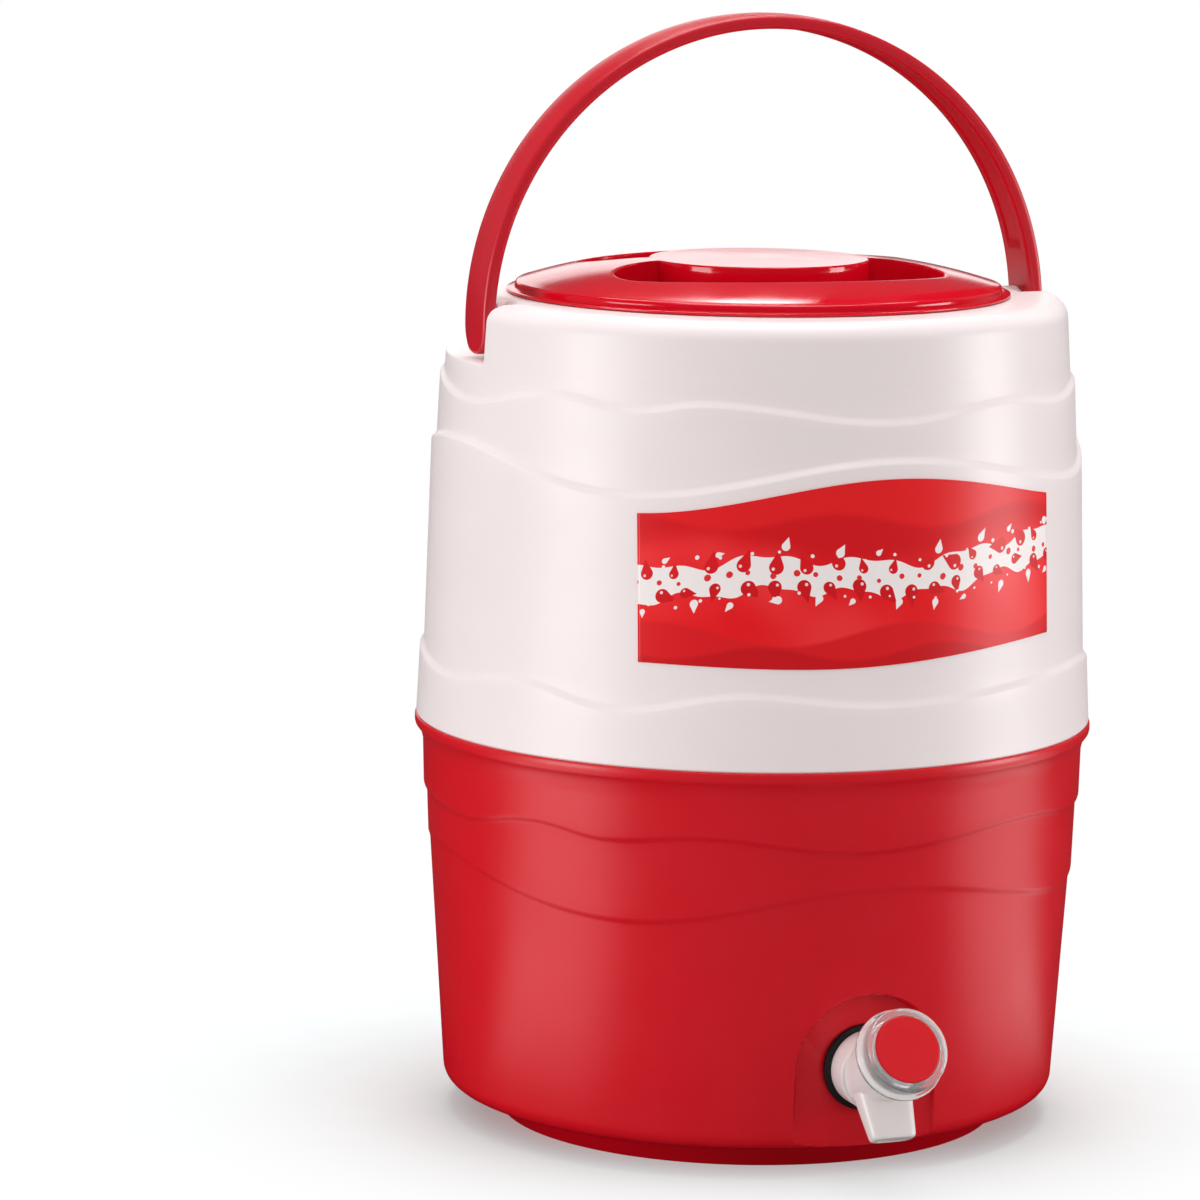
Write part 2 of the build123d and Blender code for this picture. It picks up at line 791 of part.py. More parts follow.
def stem_o_ring():
    """Ring seal round the stem, in a pocket of the housing."""
    far = chamber_front + gland_wall
    near = far - o_ring_thickness
    ring = knob_bar(o_ring_radius, near, far)
    return ring - knob_bar(stem_radius + stem_play, near - wall, far + wall)


def tap_spring():
    """Coil spring that pushes the button out again."""
    start = chamber_front + gland_wall + spring_wire
    end = knob_reach - badge_recess - knob_plate - spring_wire
    height = end - start
    path = Helix(pitch=height / spring_turns, height=height, radius=spring_radius)
    section = Plane(origin=path @ 0, z_dir=path % 0) * Circle(spring_wire)
    coil = sweep(section, path=path)
    return knob_plane.location * (Pos(0, 0, start) * coil)


def tap_knob():
    """Clear push button: a cup with a stepped rim, over the housing's end."""
    back = knob_reach - knob_length
    recess = knob_reach - badge_recess
    plate = recess - knob_plate
    bore = housing_radius + knob_play
    groove = back + knob_rim + knob_groove
    knob = knob_turned([
        (bore, back),
        (knob_rim_radius, back),
        (knob_rim_radius, back + knob_rim),
        (knob_radius - knob_groove, groove),
        (knob_radius, groove + knob_rim / 2),
        (knob_radius, knob_reach - knob_round),
        (knob_radius - knob_round, knob_reach),
        (badge_radius + badge_play, knob_reach),
        (badge_radius + badge_play, recess),
        (0, recess),
        (0, plate),
        (bore, plate),
    ])
    knob += knob_bar(knob_boss_radius, plate - knob_boss, plate)
    knob -= knob_bar(stem_radius + stem_play, plate - knob_boss - wall, plate)
    return knob


def tap_badge():
    """Plain red disc set into the button's face."""
    recess = knob_reach - badge_recess
    return knob_bar(badge_radius, recess, recess + badge_thickness)


def tap_stem():
    """Rod from the button through the housing to the valve, with a head that holds the seal."""
    end = -seat_wall - seal_thickness
    plate = knob_reach - badge_recess - knob_plate
    stem = knob_bar(stem_radius, end, plate)
    return stem + knob_bar(stem_head_radius, end - stem_head, end)


def valve_seal():
    """Rubber disc that the stem lifts off its seat when the button is pressed."""
    disc = knob_bar(seal_radius, -seat_wall - seal_thickness, -seat_wall)
    return disc - knob_bar(stem_radius + stem_play, -seat_wall - 2 * seal_thickness, wall)


def handle():
    """Flat moulded hoop with rounded ends, grooved on its inner side."""
    middle = handle_radius - handle_thickness / 2
    section = Pos(middle, 0, pivot_height) * RectangleRounded(
        handle_thickness, handle_width, handle_round
    )
    hoop = revolve(section, Axis((0, 0, pivot_height), (0, -1, 0)), 180)
    half = section & Pos(middle, 0, pivot_height) * Rectangle(
        handle_thickness, handle_width, align=(Align.CENTER, Align.MIN)
    )
    end = revolve(half, Axis((0, 0, pivot_height), (-1, 0, 0)), 180)
    hoop += end + mirror(end, Plane.YZ)
    inner = handle_radius - handle_thickness
    cut = Pos(inner, 0, pivot_height) * Rectangle(2 * groove_depth, groove_width)
    channel = revolve(cut, Axis((0, 0, pivot_height), (0, -1, 0)), 180 - 2 * groove_end_angle)
    turned = Pos(0, 0, pivot_height) * Rot(0, -groove_end_angle, 0) * Pos(0, 0, -pivot_height)
    hoop -= turned * channel
    socket = pin_radius + pin_play
    hoop -= along_x(inner - wall, inner + pin_socket, socket, pivot_height)
    hoop -= along_x(-inner - pin_socket, -inner + wall, socket, pivot_height)
    return hoop


def pivot_pin(side):
    """Pin fixed in the handle's end, turning in the bush."""
    inner = handle_radius - handle_thickness
    return along_x(side * pin_inner, side * (inner + pin_socket), pin_radius, pivot_height)


def pivot_bush(side):
    """Flanged plastic bush pressed into the collar."""
    face = pivot_boss_face
    bush = along_x(side * (face - bush_depth), side * face, bush_radius, pivot_height)
    bush += along_x(side * face, side * (face + bush_flange), bush_flange_radius, pivot_height)
    near = side * (face - pivot_boss_depth - wall)
    return bush - along_x(near, side * (face + overrun), pin_radius + pin_play, pivot_height)


def lid_dome(inset, low):
    """Solid under the lid's dome: a flat middle, then one arc down to an upright nose."""
    nose = lid_nose_radius - inset
    middle = (lid_shoulder_radius - inset / 2, 0, lid_shoulder_height - inset)
    top = lid_top_height - inset
    end = lid_nose_height - inset
    arc = ThreePointArc((lid_top_radius, 0, top), middle, (nose, 0, end))
    rest = Polyline((nose, 0, end), (nose, 0, low), (0, 0, low), (0, 0, top), (lid_top_radius, 0, top))
    face = make_face(arc + rest)
    corner = face.vertices().sort_by_distance((nose, 0, end))[0]
    return revolve(fillet(corner, lid_nose_round), Axis.Z)


def scoop(grow, low):
    """Crescent finger scoop in front of the lid's middle, its walls moved out by grow."""
    far = lid_radius + overrun
    plan = Ellipse(scoop_length + grow, scoop_width + grow) - Pos(0, far) * Rectangle(
        2 * far, 2 * (far + scoop_bridge - grow)
    )
    plan = fillet(plan.vertices(), scoop_round + grow)
    plan -= Circle(scoop_boss_radius - grow)
    return extrude(Pos(0, 0, low) * plan, amount=lid_top_height + overrun - low)


def scoops(grow, low):
    """The front scoop and its twin behind."""
    front = scoop(grow, low)
    return front + mirror(front, Plane.XZ)


def lid_cover():
    """Red domed lid cover, with two crescent finger scoops round a flat middle."""
    low = lid_base_height
    dome = lid_dome(0, low)
    cover = dome - lid_dome(lid_wall, low)
    cover += dome & scoops(lid_wall, scoop_floor - lid_wall)
    cover -= scoops(0, scoop_floor)
    cover += revolved([
        (lid_nose_radius - lid_wall, low),
        (lid_radius, low),
        (lid_radius, low + lid_lip),
        (lid_nose_radius - lid_wall, low + lid_lip),
    ])
    return Rot(0, 0, lid_turned) * cover


def lid_base():
    """White lid base: a flange on a hollow plug that fills the neck."""
    outer = neck_inner_radius - plug_clearance
    inner = outer - liner_wall
    low = gasket_top - plug_depth
    return revolved([
        (0, low),
        (outer, low),
        (outer, gasket_top),
        (flange_outer_radius, gasket_top),
        (flange_outer_radius, gasket_top + flange_thickness),
        (inner, gasket_top + flange_thickness),
        (inner, low + liner_wall),
        (0, low + liner_wall),
    ])


def lid_foam():
    """Round foam block inside the lid's plug, under the scoops."""
    radius = neck_inner_radius - plug_clearance - liner_wall - fit
    low = gasket_top - plug_depth + liner_wall
    top = scoop_floor - lid_wall - fit
    return revolved([(0, low), (radius, low), (radius, top), (0, top)])


def lid_gasket():
    """Flat silicone ring between the neck flange and the lid."""
    return revolved([
        (gasket_inner_radius, flange_top),
        (gasket_outer_radius, flange_top),
        (gasket_outer_radius, gasket_top),
        (gasket_inner_radius, gasket_top),
    ])


nodes = {
    "lower_shell": lower_shell(),
    "upper_shell": upper_shell(),
    "inner_liner": inner_liner(),
    "foam_core": foam_core(),
    "foam_fill_plug": foam_fill_plug(),
    "label": label(),
    "pivot_bush_left": pivot_bush(-1),
    "pivot_bush_right": pivot_bush(1),
    "tap_body": tap_body(),
    "tap_outer_washer": tap_outer_washer(),
    "tap_inner_washer": tap_inner_washer(),
    "tap_nut": tap_nut(),
    "stem_o_ring": stem_o_ring(),
    "tap_spring": tap_spring(),
    "tap_knob": tap_knob(),
    "tap_badge": tap_badge(),
    "tap_stem": tap_stem(),
    "valve_seal": valve_seal(),
    "handle": handle(),
    "pivot_pin_left": pivot_pin(-1),
    "pivot_pin_right": pivot_pin(1),
    "lid_cover": lid_cover(),
    "lid_base": lid_base(),
    "lid_foam": lid_foam(),
    "lid_gasket": lid_gasket(),
}

os.makedirs("parts", exist_ok=True)
for name, solid in nodes.items():
    export_step(solid, f"parts/{name}.step")
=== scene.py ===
import math

import bmesh
import bpy
import numpy as np
from mathutils import Matrix, Vector


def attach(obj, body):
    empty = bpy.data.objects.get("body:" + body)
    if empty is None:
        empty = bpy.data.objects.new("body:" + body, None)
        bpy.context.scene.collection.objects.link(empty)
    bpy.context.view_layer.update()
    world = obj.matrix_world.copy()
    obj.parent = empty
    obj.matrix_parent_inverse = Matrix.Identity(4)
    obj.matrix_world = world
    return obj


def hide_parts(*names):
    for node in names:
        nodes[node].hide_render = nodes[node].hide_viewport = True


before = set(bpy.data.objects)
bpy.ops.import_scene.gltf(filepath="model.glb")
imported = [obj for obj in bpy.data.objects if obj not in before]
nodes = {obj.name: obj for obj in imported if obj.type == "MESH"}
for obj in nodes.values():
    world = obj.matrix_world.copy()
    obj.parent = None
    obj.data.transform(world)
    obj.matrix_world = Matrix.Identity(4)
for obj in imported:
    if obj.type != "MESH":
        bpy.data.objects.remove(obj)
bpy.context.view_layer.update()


# ---------------------------------------------------------------- Lower shell
# The red tub: injection-moulded polypropylene, about 2.6 mm thick, with a bead at its
# rim, two wavy steps pressed into its side and a flat arched bay for the tap. The upper
# shell snaps over its lip, and the space inside is foamed.

MM_PER_M = 1000


def linear(code):
    """Linear RGBA of an sRGB hex colour."""
    srgb = np.array([int(code[k:k + 2], 16) for k in (1, 3, 5)]) / 255
    rgb = np.where(srgb <= 0.04045, srgb / 12.92, ((srgb + 0.055) / 1.055) ** 2.4)
    return (*rgb, 1.0)


def add(tree, kind, inputs=None, **settings):
    """Adds a shader node with its settings. Each input gets a value, or a link from a
    socket or from the first output that another node has in use. The inputs 6 and 7 of a
    Mix node are its two colours, and 2 and 3 its two numbers."""
    node = tree.nodes.new("ShaderNode" + kind)
    for name, value in settings.items():
        setattr(node, name, value)
    for name, value in (inputs or {}).items():
        if isinstance(value, bpy.types.Node):
            value = next(output for output in value.outputs if output.enabled)
        if isinstance(value, bpy.types.NodeSocket):
            tree.links.new(value, node.inputs[name])
        else:
            node.inputs[name].default_value = value
    return node


def start_material(name):
    """Empty node material, with its tree."""
    material = bpy.data.materials.new(name)
    material.use_nodes = True
    material.node_tree.nodes.clear()
    return material, material.node_tree


def millimetres(tree):
    """The piece's object coordinates in millimetres."""
    place = add(tree, "TexCoord").outputs["Object"]
    return add(tree, "VectorMath", {0: place, 1: (MM_PER_M,) * 3}, operation="MULTIPLY")


def moulded(name, dark, light, roughness, coat, specular, grain_mm, grain_depth):
    """Moulded plastic: its pigment varies softly over 60 mm, its gloss by 0.05 over 25 mm,
    and fine grain with long shallow sink marks lifts its surface."""
    material, tree = start_material(name)
    mm = millimetres(tree)
    clouds = add(tree, "TexNoise", {"Vector": mm, "Scale": 1 / 60, "Detail": 2.0})
    colour = add(tree, "Mix", {0: clouds, 6: linear(dark), 7: linear(light)}, data_type="RGBA")
    patches = add(tree, "TexNoise", {"Vector": mm, "Scale": 1 / 25, "Detail": 3.0})
    gloss = add(tree, "MapRange", {
        "Value": patches, "From Min": 0.1, "From Max": 0.9,
        "To Min": roughness - 0.05, "To Max": roughness + 0.05,
    })
    grain = add(tree, "TexNoise", {"Vector": mm, "Scale": 1 / grain_mm, "Detail": 2.0})
    sinks = add(tree, "TexNoise", {"Vector": mm, "Scale": 1 / 45, "Detail": 1.0})
    waves = add(tree, "Bump", {"Height": sinks, "Strength": 0.12, "Distance": 0.0012})
    bump = add(tree, "Bump", {
        "Height": grain, "Strength": grain_depth, "Distance": 0.0001,
        "Normal": waves,
    })
    shader = add(tree, "BsdfPrincipled", {
        "Base Color": colour, "Roughness": gloss, "IOR": 1.49,
        "Specular IOR Level": specular, "Coat Weight": coat, "Coat Roughness": 0.12,
        "Normal": bump,
    })
    add(tree, "OutputMaterial", {0: shader})
    return material


def surface(points, around=True, along=False):
    """Vertices and quads of a grid of points in millimetres, rows by columns. Each quad
    joins a row to the next one; around and along say which way the grid closes."""
    rows, columns = points.shape[:2]
    index = np.arange(rows * columns).reshape(rows, columns)
    if along:
        index = np.vstack([index, index[:1]])
    if around:
        index = np.hstack([index, index[:, :1]])
    quads = np.stack([index[:-1, :-1], index[:-1, 1:], index[1:, 1:], index[1:, :-1]], axis=-1)
    return points.reshape(-1, 3), quads.reshape(-1, 4)


def piece(name, body, material, surfaces, replaced, sharp=32):
    """Object of one or more closed grids: doubles are merged, faces turned outwards, and
    edges sharper than an angle in degrees kept crisp."""
    counts = np.cumsum([0] + [len(points) for points, _ in surfaces])
    points = np.vstack([points for points, _ in surfaces]) / MM_PER_M
    quads = np.vstack([faces + first for (_, faces), first in zip(surfaces, counts)])
    mesh = bpy.data.meshes.new(name)
    mesh.from_pydata(points.tolist(), [], quads.tolist())
    work = bmesh.new()
    work.from_mesh(mesh)
    bmesh.ops.remove_doubles(work, verts=work.verts, dist=2e-6)
    bmesh.ops.dissolve_degenerate(work, edges=work.edges, dist=1e-7)
    bmesh.ops.delete(work, geom=[e for e in work.edges if e.is_wire], context="EDGES")
    bmesh.ops.recalc_face_normals(work, faces=work.faces)
    work.to_mesh(mesh)
    work.free()
    mesh.shade_smooth()
    mesh.set_sharp_from_angle(angle=math.radians(sharp))
    mesh.materials.append(material)
    made = bpy.data.objects.new(name, mesh)
    bpy.context.scene.collection.objects.link(made)
    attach(made, body)
    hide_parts(*replaced)
    return made


def ease(value):
    """Half cosine from 0 to 1, flat beyond both ends."""
    return (1 - np.cos(np.pi * np.clip(value, 0, 1))) / 2


def wave(theta, level, swing, shares):
    """Height of a moulded wave at angles in degrees: half cosines join its crests and
    troughs, which are given as angle and share of the swing."""
    angles = np.array([a for a, _ in shares] + [shares[0][0] + 360.0])
    parts = np.array([s for _, s in shares] + [shares[0][1]])
    turned = angles[0] + (theta - angles[0]) % 360
    k = np.clip(np.searchsorted(angles, turned, side="right") - 1, 0, len(angles) - 2)
    blend = ease((turned - angles[k]) / (angles[k + 1] - angles[k]))
    return level + swing * (parts[k] + (parts[k + 1] - parts[k]) * blend)


def between(low, high, count, end=False):
    """Rows of heights from low to high, each an array over the columns."""
    share = np.linspace(0, 1, count, endpoint=end)[:, None]
    return low + (high - low) * share


def taper(z, high, high_radius, low, low_radius):
    """Radius of a straight drafted side at heights z."""
    return low_radius + (high_radius - low_radius) * (z - low) / (high - low)


def turn(radius, theta, z):
    """Points at a radius, an angle in degrees from the front towards +X, and a height."""
    a = np.radians(theta)
    return np.stack(np.broadcast_arrays(radius * np.sin(a), -radius * np.cos(a), z), axis=-1)


SHELL_WALL = 2.6
# Height and radius of the rounding at the tub's foot, up to where the rows of its side
# lie close for the bay, the foot of the bead, and the seam
ROUND_TOP = 20.0
ROUND = 7.5
CLOSE_TO = 92.0
BEAD_FOOT = 171.6
SEAM_Z = 180.6
# Half the height of the soft ramp of a wave's step, and the tub's waves: level, swing,
# and crests and troughs
RAMP = 1.9
RIM_WAVE = (148.0, 3.5, [
    (-110, -0.15), (-81, -0.8), (-61, 1.0), (-47, -0.1), (-30, 0.8), (-3, -1.05), (31, 0.85),
    (57, -0.55), (80, 0.7), (108, -1.0), (138, 0.85), (168, -0.7), (198, 0.85), (225, -0.85),
])
TUB_WAVE = (120.0, 8.0, [
    (-97, 1.0), (-44, -0.95), (0, 0.95), (54, -1.0), (100, 0.9), (145, -0.95), (190, 0.95),
    (225, -0.9),
])
# Drafted sides: upper height and radius, lower height and radius
TUB_SIDE = (SEAM_Z, 148.0, 12.5, 137.3)
MIDDLE_SIDE = (148.0, 146.0, 120.0, 145.0)
RIM_SIDE = (SEAM_Z, 148.2, 148.0, 147.4)
# The tap's height, and the bay's flat face, half width and upper limit
TAP_Z = 48.3
BAY_FACE = 133.0
BAY_HALF = 32.5
BAY_TOP = 100


def lower_side(theta):
    """Heights and radii of the tub's side from the base rounding up to the bead: each
    wave is a soft ramp between the straight sides above and below it."""
    rim, tub = wave(theta, *RIM_WAVE), wave(theta, *TUB_WAVE)
    flat = 0 * theta
    z = np.vstack([
        between(ROUND_TOP, CLOSE_TO, 112) + flat, between(CLOSE_TO + flat, tub - RAMP, 8),
        between(tub - RAMP, tub + RAMP, 9), between(tub + RAMP, rim - RAMP, 7),
        between(rim - RAMP, rim + RAMP, 9), between(rim + RAMP, BEAD_FOOT + flat, 8),
    ])
    radius = taper(z, *TUB_SIDE)
    for level, side in ((tub, MIDDLE_SIDE), (rim, RIM_SIDE)):
        radius = radius + (taper(z, *side) - radius) * ease((z - level + RAMP) / (2 * RAMP))
    return z, radius


def lower_shell():
    """Closed skin of the tub, a radius and a height for each angle: base, foot ring,
    rounding, side, bead and lip, then back down the inside. In the arched bay, whose wall
    slopes over 1 mm, the radius is cut back to a flat face."""
    wall = np.arange(12.7, 14.7, 0.1)
    theta = np.concatenate([
        -wall[::-1], np.arange(-12.3, 12.31, 0.41), wall, np.arange(15.3, 344.8, 1.2),
    ])
    base = [
        (0, 12.5), (108.2, 12.5), (109, 11.7), (109, 0.6), (109.5, 0), (111.4, 0),
        (112.1, 0.7), (114.8, 10.6), (116.6, 12.5),
    ]
    bead = [
        (149.0, 173.4), (150.7, 175.4), (151.35, 176.3), (151.6, 177.2), (151.6, 179.3),
        (151.35, 180.1), (150.6, SEAM_Z),
    ]
    inside = [
        (148.3, SEAM_Z), (148.15, 181.2), (148.0, 190.2), (147.6, 190.6), (145.8, 190.6),
        (145.4, 190.2), (145.3, 178.0), (144.4, 150.0), (139.0, 110.0), (134.9, 24.0),
        (133.6, 19.0), (129.0, 15.1), (0, 15.1),
    ]
    flat = 0 * theta
    t = np.radians(np.linspace(90, 0, 9)[:-1])[:, None] + flat
    side_z, side_radius = lower_side(theta)
    z = np.vstack([
        [h + flat for _, h in base], ROUND_TOP - ROUND * np.sin(t), side_z,
        [h + flat for _, h in bead + inside],
    ])
    radius = np.vstack([
        [r + flat for r, _ in base], 130.27 + ROUND * np.cos(t), side_radius,
        [r + flat for r, _ in bead + inside],
    ])
    front = np.cos(np.radians(theta))
    x = radius * np.sin(np.radians(theta))
    within = BAY_HALF - np.where(z > TAP_Z, np.hypot(x, z - TAP_Z), np.abs(x))
    within = np.where(front > 0, within, -1.0)
    shift = np.where(np.arange(len(z)) < len(z) - len(inside), 0, SHELL_WALL)[:, None]
    depth = np.maximum(radius - BAY_FACE / np.maximum(front, 0.2) + shift, 0)
    radius = radius - depth * ease(within + 0.5) * (z < BAY_TOP)
    return surface(turn(radius, theta, z))


# Polypropylene, satin-moulded: deep red with broad soft highlights
red_shell = moulded("satin red polypropylene", "#D40318", "#DE051D", 0.32, 0.0, 0.45, 0.9, 0.2)
piece("red_tub", "jug", red_shell, [lower_shell()], ["lower_shell"])


# ------------------------------------------------------------ Foam filling plug
# A polypropylene disc snapped into the hole in the base through which the foam was
# poured. It has a gate mark in its middle and a thin raised rim.

def rounded(corners, radius):
    """Closed outline with each corner turned into a short parabolic arc: points run from
    one tangent point to the next along (1-t)^2 a + 2t(1-t) p + t^2 b."""
    p = np.array(corners, float)
    to_last, to_next = np.roll(p, 1, axis=0) - p, np.roll(p, -1, axis=0) - p
    last, following = np.hypot(*to_last.T)[:, None], np.hypot(*to_next.T)[:, None]
    cut = np.minimum(radius, 0.45 * np.minimum(last, following))
    cut = np.where(p[:, :1] <= 1e-6, 0, cut)
    a, b = p + to_last / last * cut, p + to_next / following * cut
    t = np.linspace(0, 1, 6)[None, :, None]
    arcs = (1 - t) ** 2 * a[:, None] + 2 * t * (1 - t) * p[:, None] + t ** 2 * b[:, None]
    return arcs.reshape(-1, 2)


def lathe(outline, origin=(0, 0, 0), axis=(0, 0, 1), count=96):
    """Outline of (radius, distance) turned about an axis through origin."""
    along = np.array(Vector(axis).normalized())
    side = np.array(Vector(axis).orthogonal().normalized())
    other = np.cross(along, side)
    a = np.linspace(0, 2 * np.pi, count, endpoint=False)[None, :, None]
    r, h = outline[:, :1, None], outline[:, 1:, None]
    points = np.array(origin) + r * (np.cos(a) * side + np.sin(a) * other) + h * along
    return surface(points, along=True)


plug_outline = rounded([
    (0, 10.7), (12.0, 10.7), (12.4, 10.2), (14, 10.7), (14, 12.5), (10.7, 12.5), (10.7, 15.1),
    (0, 15.1),
], 0.4)
piece(
    "filling_plug", "jug", red_shell, [lathe(plug_outline, (0, 62, 0))],
    ["foam_fill_plug"],
)


# ----------------------------------------------------------------------- Liner
# The inner vessel: food-grade polyethylene, rotationally smooth, with a wide neck whose
# flange lies in the mouth of the upper shell. Slightly waxy and translucent.

def waxy(name, colour, shade):
    """Natural polyethylene: off-white, a little light soaks in, fine ripple over 18 mm."""
    material, tree = start_material(name)
    mm = millimetres(tree)
    clouds = add(tree, "TexNoise", {"Vector": mm, "Scale": 1 / 40, "Detail": 3.0})
    tint = add(tree, "Mix", {0: clouds, 6: linear(shade), 7: linear(colour)}, data_type="RGBA")
    ripple = add(tree, "TexNoise", {"Vector": mm, "Scale": 1 / 18, "Detail": 2.0})
    bump = add(tree, "Bump", {"Height": ripple, "Strength": 0.2, "Distance": 0.0006})
    shader = add(tree, "BsdfPrincipled", {
        "Base Color": tint, "Roughness": 0.38, "IOR": 1.51,
        "Subsurface Weight": 0.08, "Subsurface Radius": (0.004, 0.003, 0.003),
        "Subsurface Scale": 0.5, "Normal": bump,
    })
    add(tree, "OutputMaterial", {0: shader})
    return material


liner_white = waxy("natural polyethylene", "#F6F3EC", "#EFEBE2")
liner_corners = [
    (0, 28), (113, 28), (124, 300), (102.2, 334), (102.2, 367.6), (110, 367.6), (110, 369.8),
    (100, 369.8), (100, 334.8), (121.8, 300.8), (111, 30.2), (0, 30.2),
]
tap_axis = (0, -1, 0)
tap_origin = (0, 0, TAP_Z)
liner_boss = rounded([(9.2, 107.5), (17.5, 107.5), (17.5, 116), (9.2, 116)], 0.8)
piece(
    "liner_vessel", "jug", liner_white,
    [lathe(rounded(liner_corners, 6.0), count=180), lathe(liner_boss, tap_origin, tap_axis)],
    ["inner_liner"],
)


# ------------------------------------------------------------------------ Foam
# Rigid polyurethane foam that fills the wall, poured in and set between the shells and
# the liner: pale yellow, with closed cells under a millimetre wide.

def foamed(name, colour, shade, cell_mm):
    """Rigid foam: Voronoi cells cell_mm wide dent the surface, and painted shade darkens its pits.
    """
    material, tree = start_material(name)
    mm = millimetres(tree)
    cells = add(tree, "TexVoronoi", {"Vector": mm, "Scale": 1 / cell_mm})
    # Painted shade: the colour darkens towards each cell's middle, where its pit lies deepest
    tint = add(tree, "Mix", {0: cells, 6: linear(shade), 7: linear(colour)}, data_type="RGBA")
    bump = add(tree, "Bump", {"Height": cells, "Strength": 0.6, "Distance": 0.0006})
    shader = add(tree, "BsdfPrincipled", {
        "Base Color": tint, "Roughness": 0.9, "Normal": bump,
    })
    add(tree, "OutputMaterial", {0: shader})
    return material


def dress(node, material):
    """Gives a CAD piece its finish."""
    node.data.materials.clear()
    node.data.materials.append(material)


foam_yellow = foamed("rigid polyurethane foam", "#EFE3B4", "#CDB97F", 0.9)
dress(nodes["foam_core"], foam_yellow)
dress(nodes["lid_foam"], foam_yellow)


# ----------------------------------------------------------------- Upper shell
# The white upper shell: moulded polypropylene with three wavy steps, a rounded shoulder
# and, behind the front of its collar, a bay and ledge on which the handle folds down.

COLLAR_WAVE = (332.0, 4.0, [
    (-116, 0.9), (-84, -1.0), (-60, 1.05), (-44, 0.0), (-31, 0.95), (2, -1.0), (28, 0.45),
    (46, -0.4), (72, 0.9), (105, -0.9), (138, 0.8), (168, -0.6), (196, 0.5), (220, -0.8),
])
BELLY_WAVE = (304.0, 8.0, [
    (-130, -0.5), (-87, 0.9), (-45, -0.95), (2, 1.0), (52, -0.95), (88, 0.9), (135, -0.9),
    (185, 0.9),
])
SKIRT_WAVE = (209.0, 4.0, [
    (-115, 1.0), (-86, -0.5), (-65, 0.85), (-45, -1.0), (-23, 1.05), (0, -0.1), (50, 1.1),
    (88, -0.5), (120, 0.75), (152, -0.75), (184, 0.9), (214, -0.6),
])
SKIRT_SIDE = (209.0, 149.6, SEAM_Z, 151.0)
BELLY_SIDE = (304.0, 144.9, 209.0, 147.8)
BAND_SIDE = (332.0, 141.3, 304.0, 142.7)
COLLAR_SIDE = (370.0, 137.0, 332.0, 139.4)
# The handle's bay: its walls stand at y = -22. The collar's radius before them and behind
# them, the ledge with the rounding of its edge, and the shoulder's top
BAY_BACK_Y = 22.0
CORNER_RADIUS = 137.8
BAY_RADIUS = 124.5
LEDGE = 344.0
LEDGE_ROUND = 1.4
TOP = 370
# Columns along the collar's front, each bay wall and the arc behind
FRONT, WALL, BACK = 241, 7, 300
MOUTH_ANGLE = 74.0


def columns(angle):
    """Angles of the columns, whose walls stand at plus and minus angle."""
    return np.concatenate([
        angle * np.linspace(-1, 1, FRONT), np.full(WALL, angle),
        angle + (360 - 2 * angle) * np.linspace(0, 1, BACK), np.full(WALL, 360 - angle),
    ])


def plan(front_radius, wall_y, back_radius):
    """Rings of the collar seen from above, one for each front radius: the front arc, the
    two short walls at y = -wall_y, and the arc behind them."""
    front_radius, wall_y, back_radius = (v[:, None] for v in (front_radius, wall_y, back_radius))
    outer_x = np.sqrt(front_radius ** 2 - wall_y ** 2)
    inner_x = np.sqrt(back_radius ** 2 - wall_y ** 2)
    a = np.arctan2(outer_x, wall_y) * np.linspace(-1, 1, FRONT)
    start = np.arctan2(inner_x, wall_y)
    b = start + (2 * np.pi - 2 * start) * np.linspace(0, 1, BACK)
    wall_x = outer_x + (inner_x - outer_x) * np.linspace(0, 1, WALL + 2)[1:-1]
    flat = 0 * wall_x - wall_y
    x = np.hstack([front_radius * np.sin(a), wall_x, back_radius * np.sin(b), -wall_x[:, ::-1]])
    y = np.hstack([-front_radius * np.cos(a), flat, -back_radius * np.cos(b), flat])
    return x, y


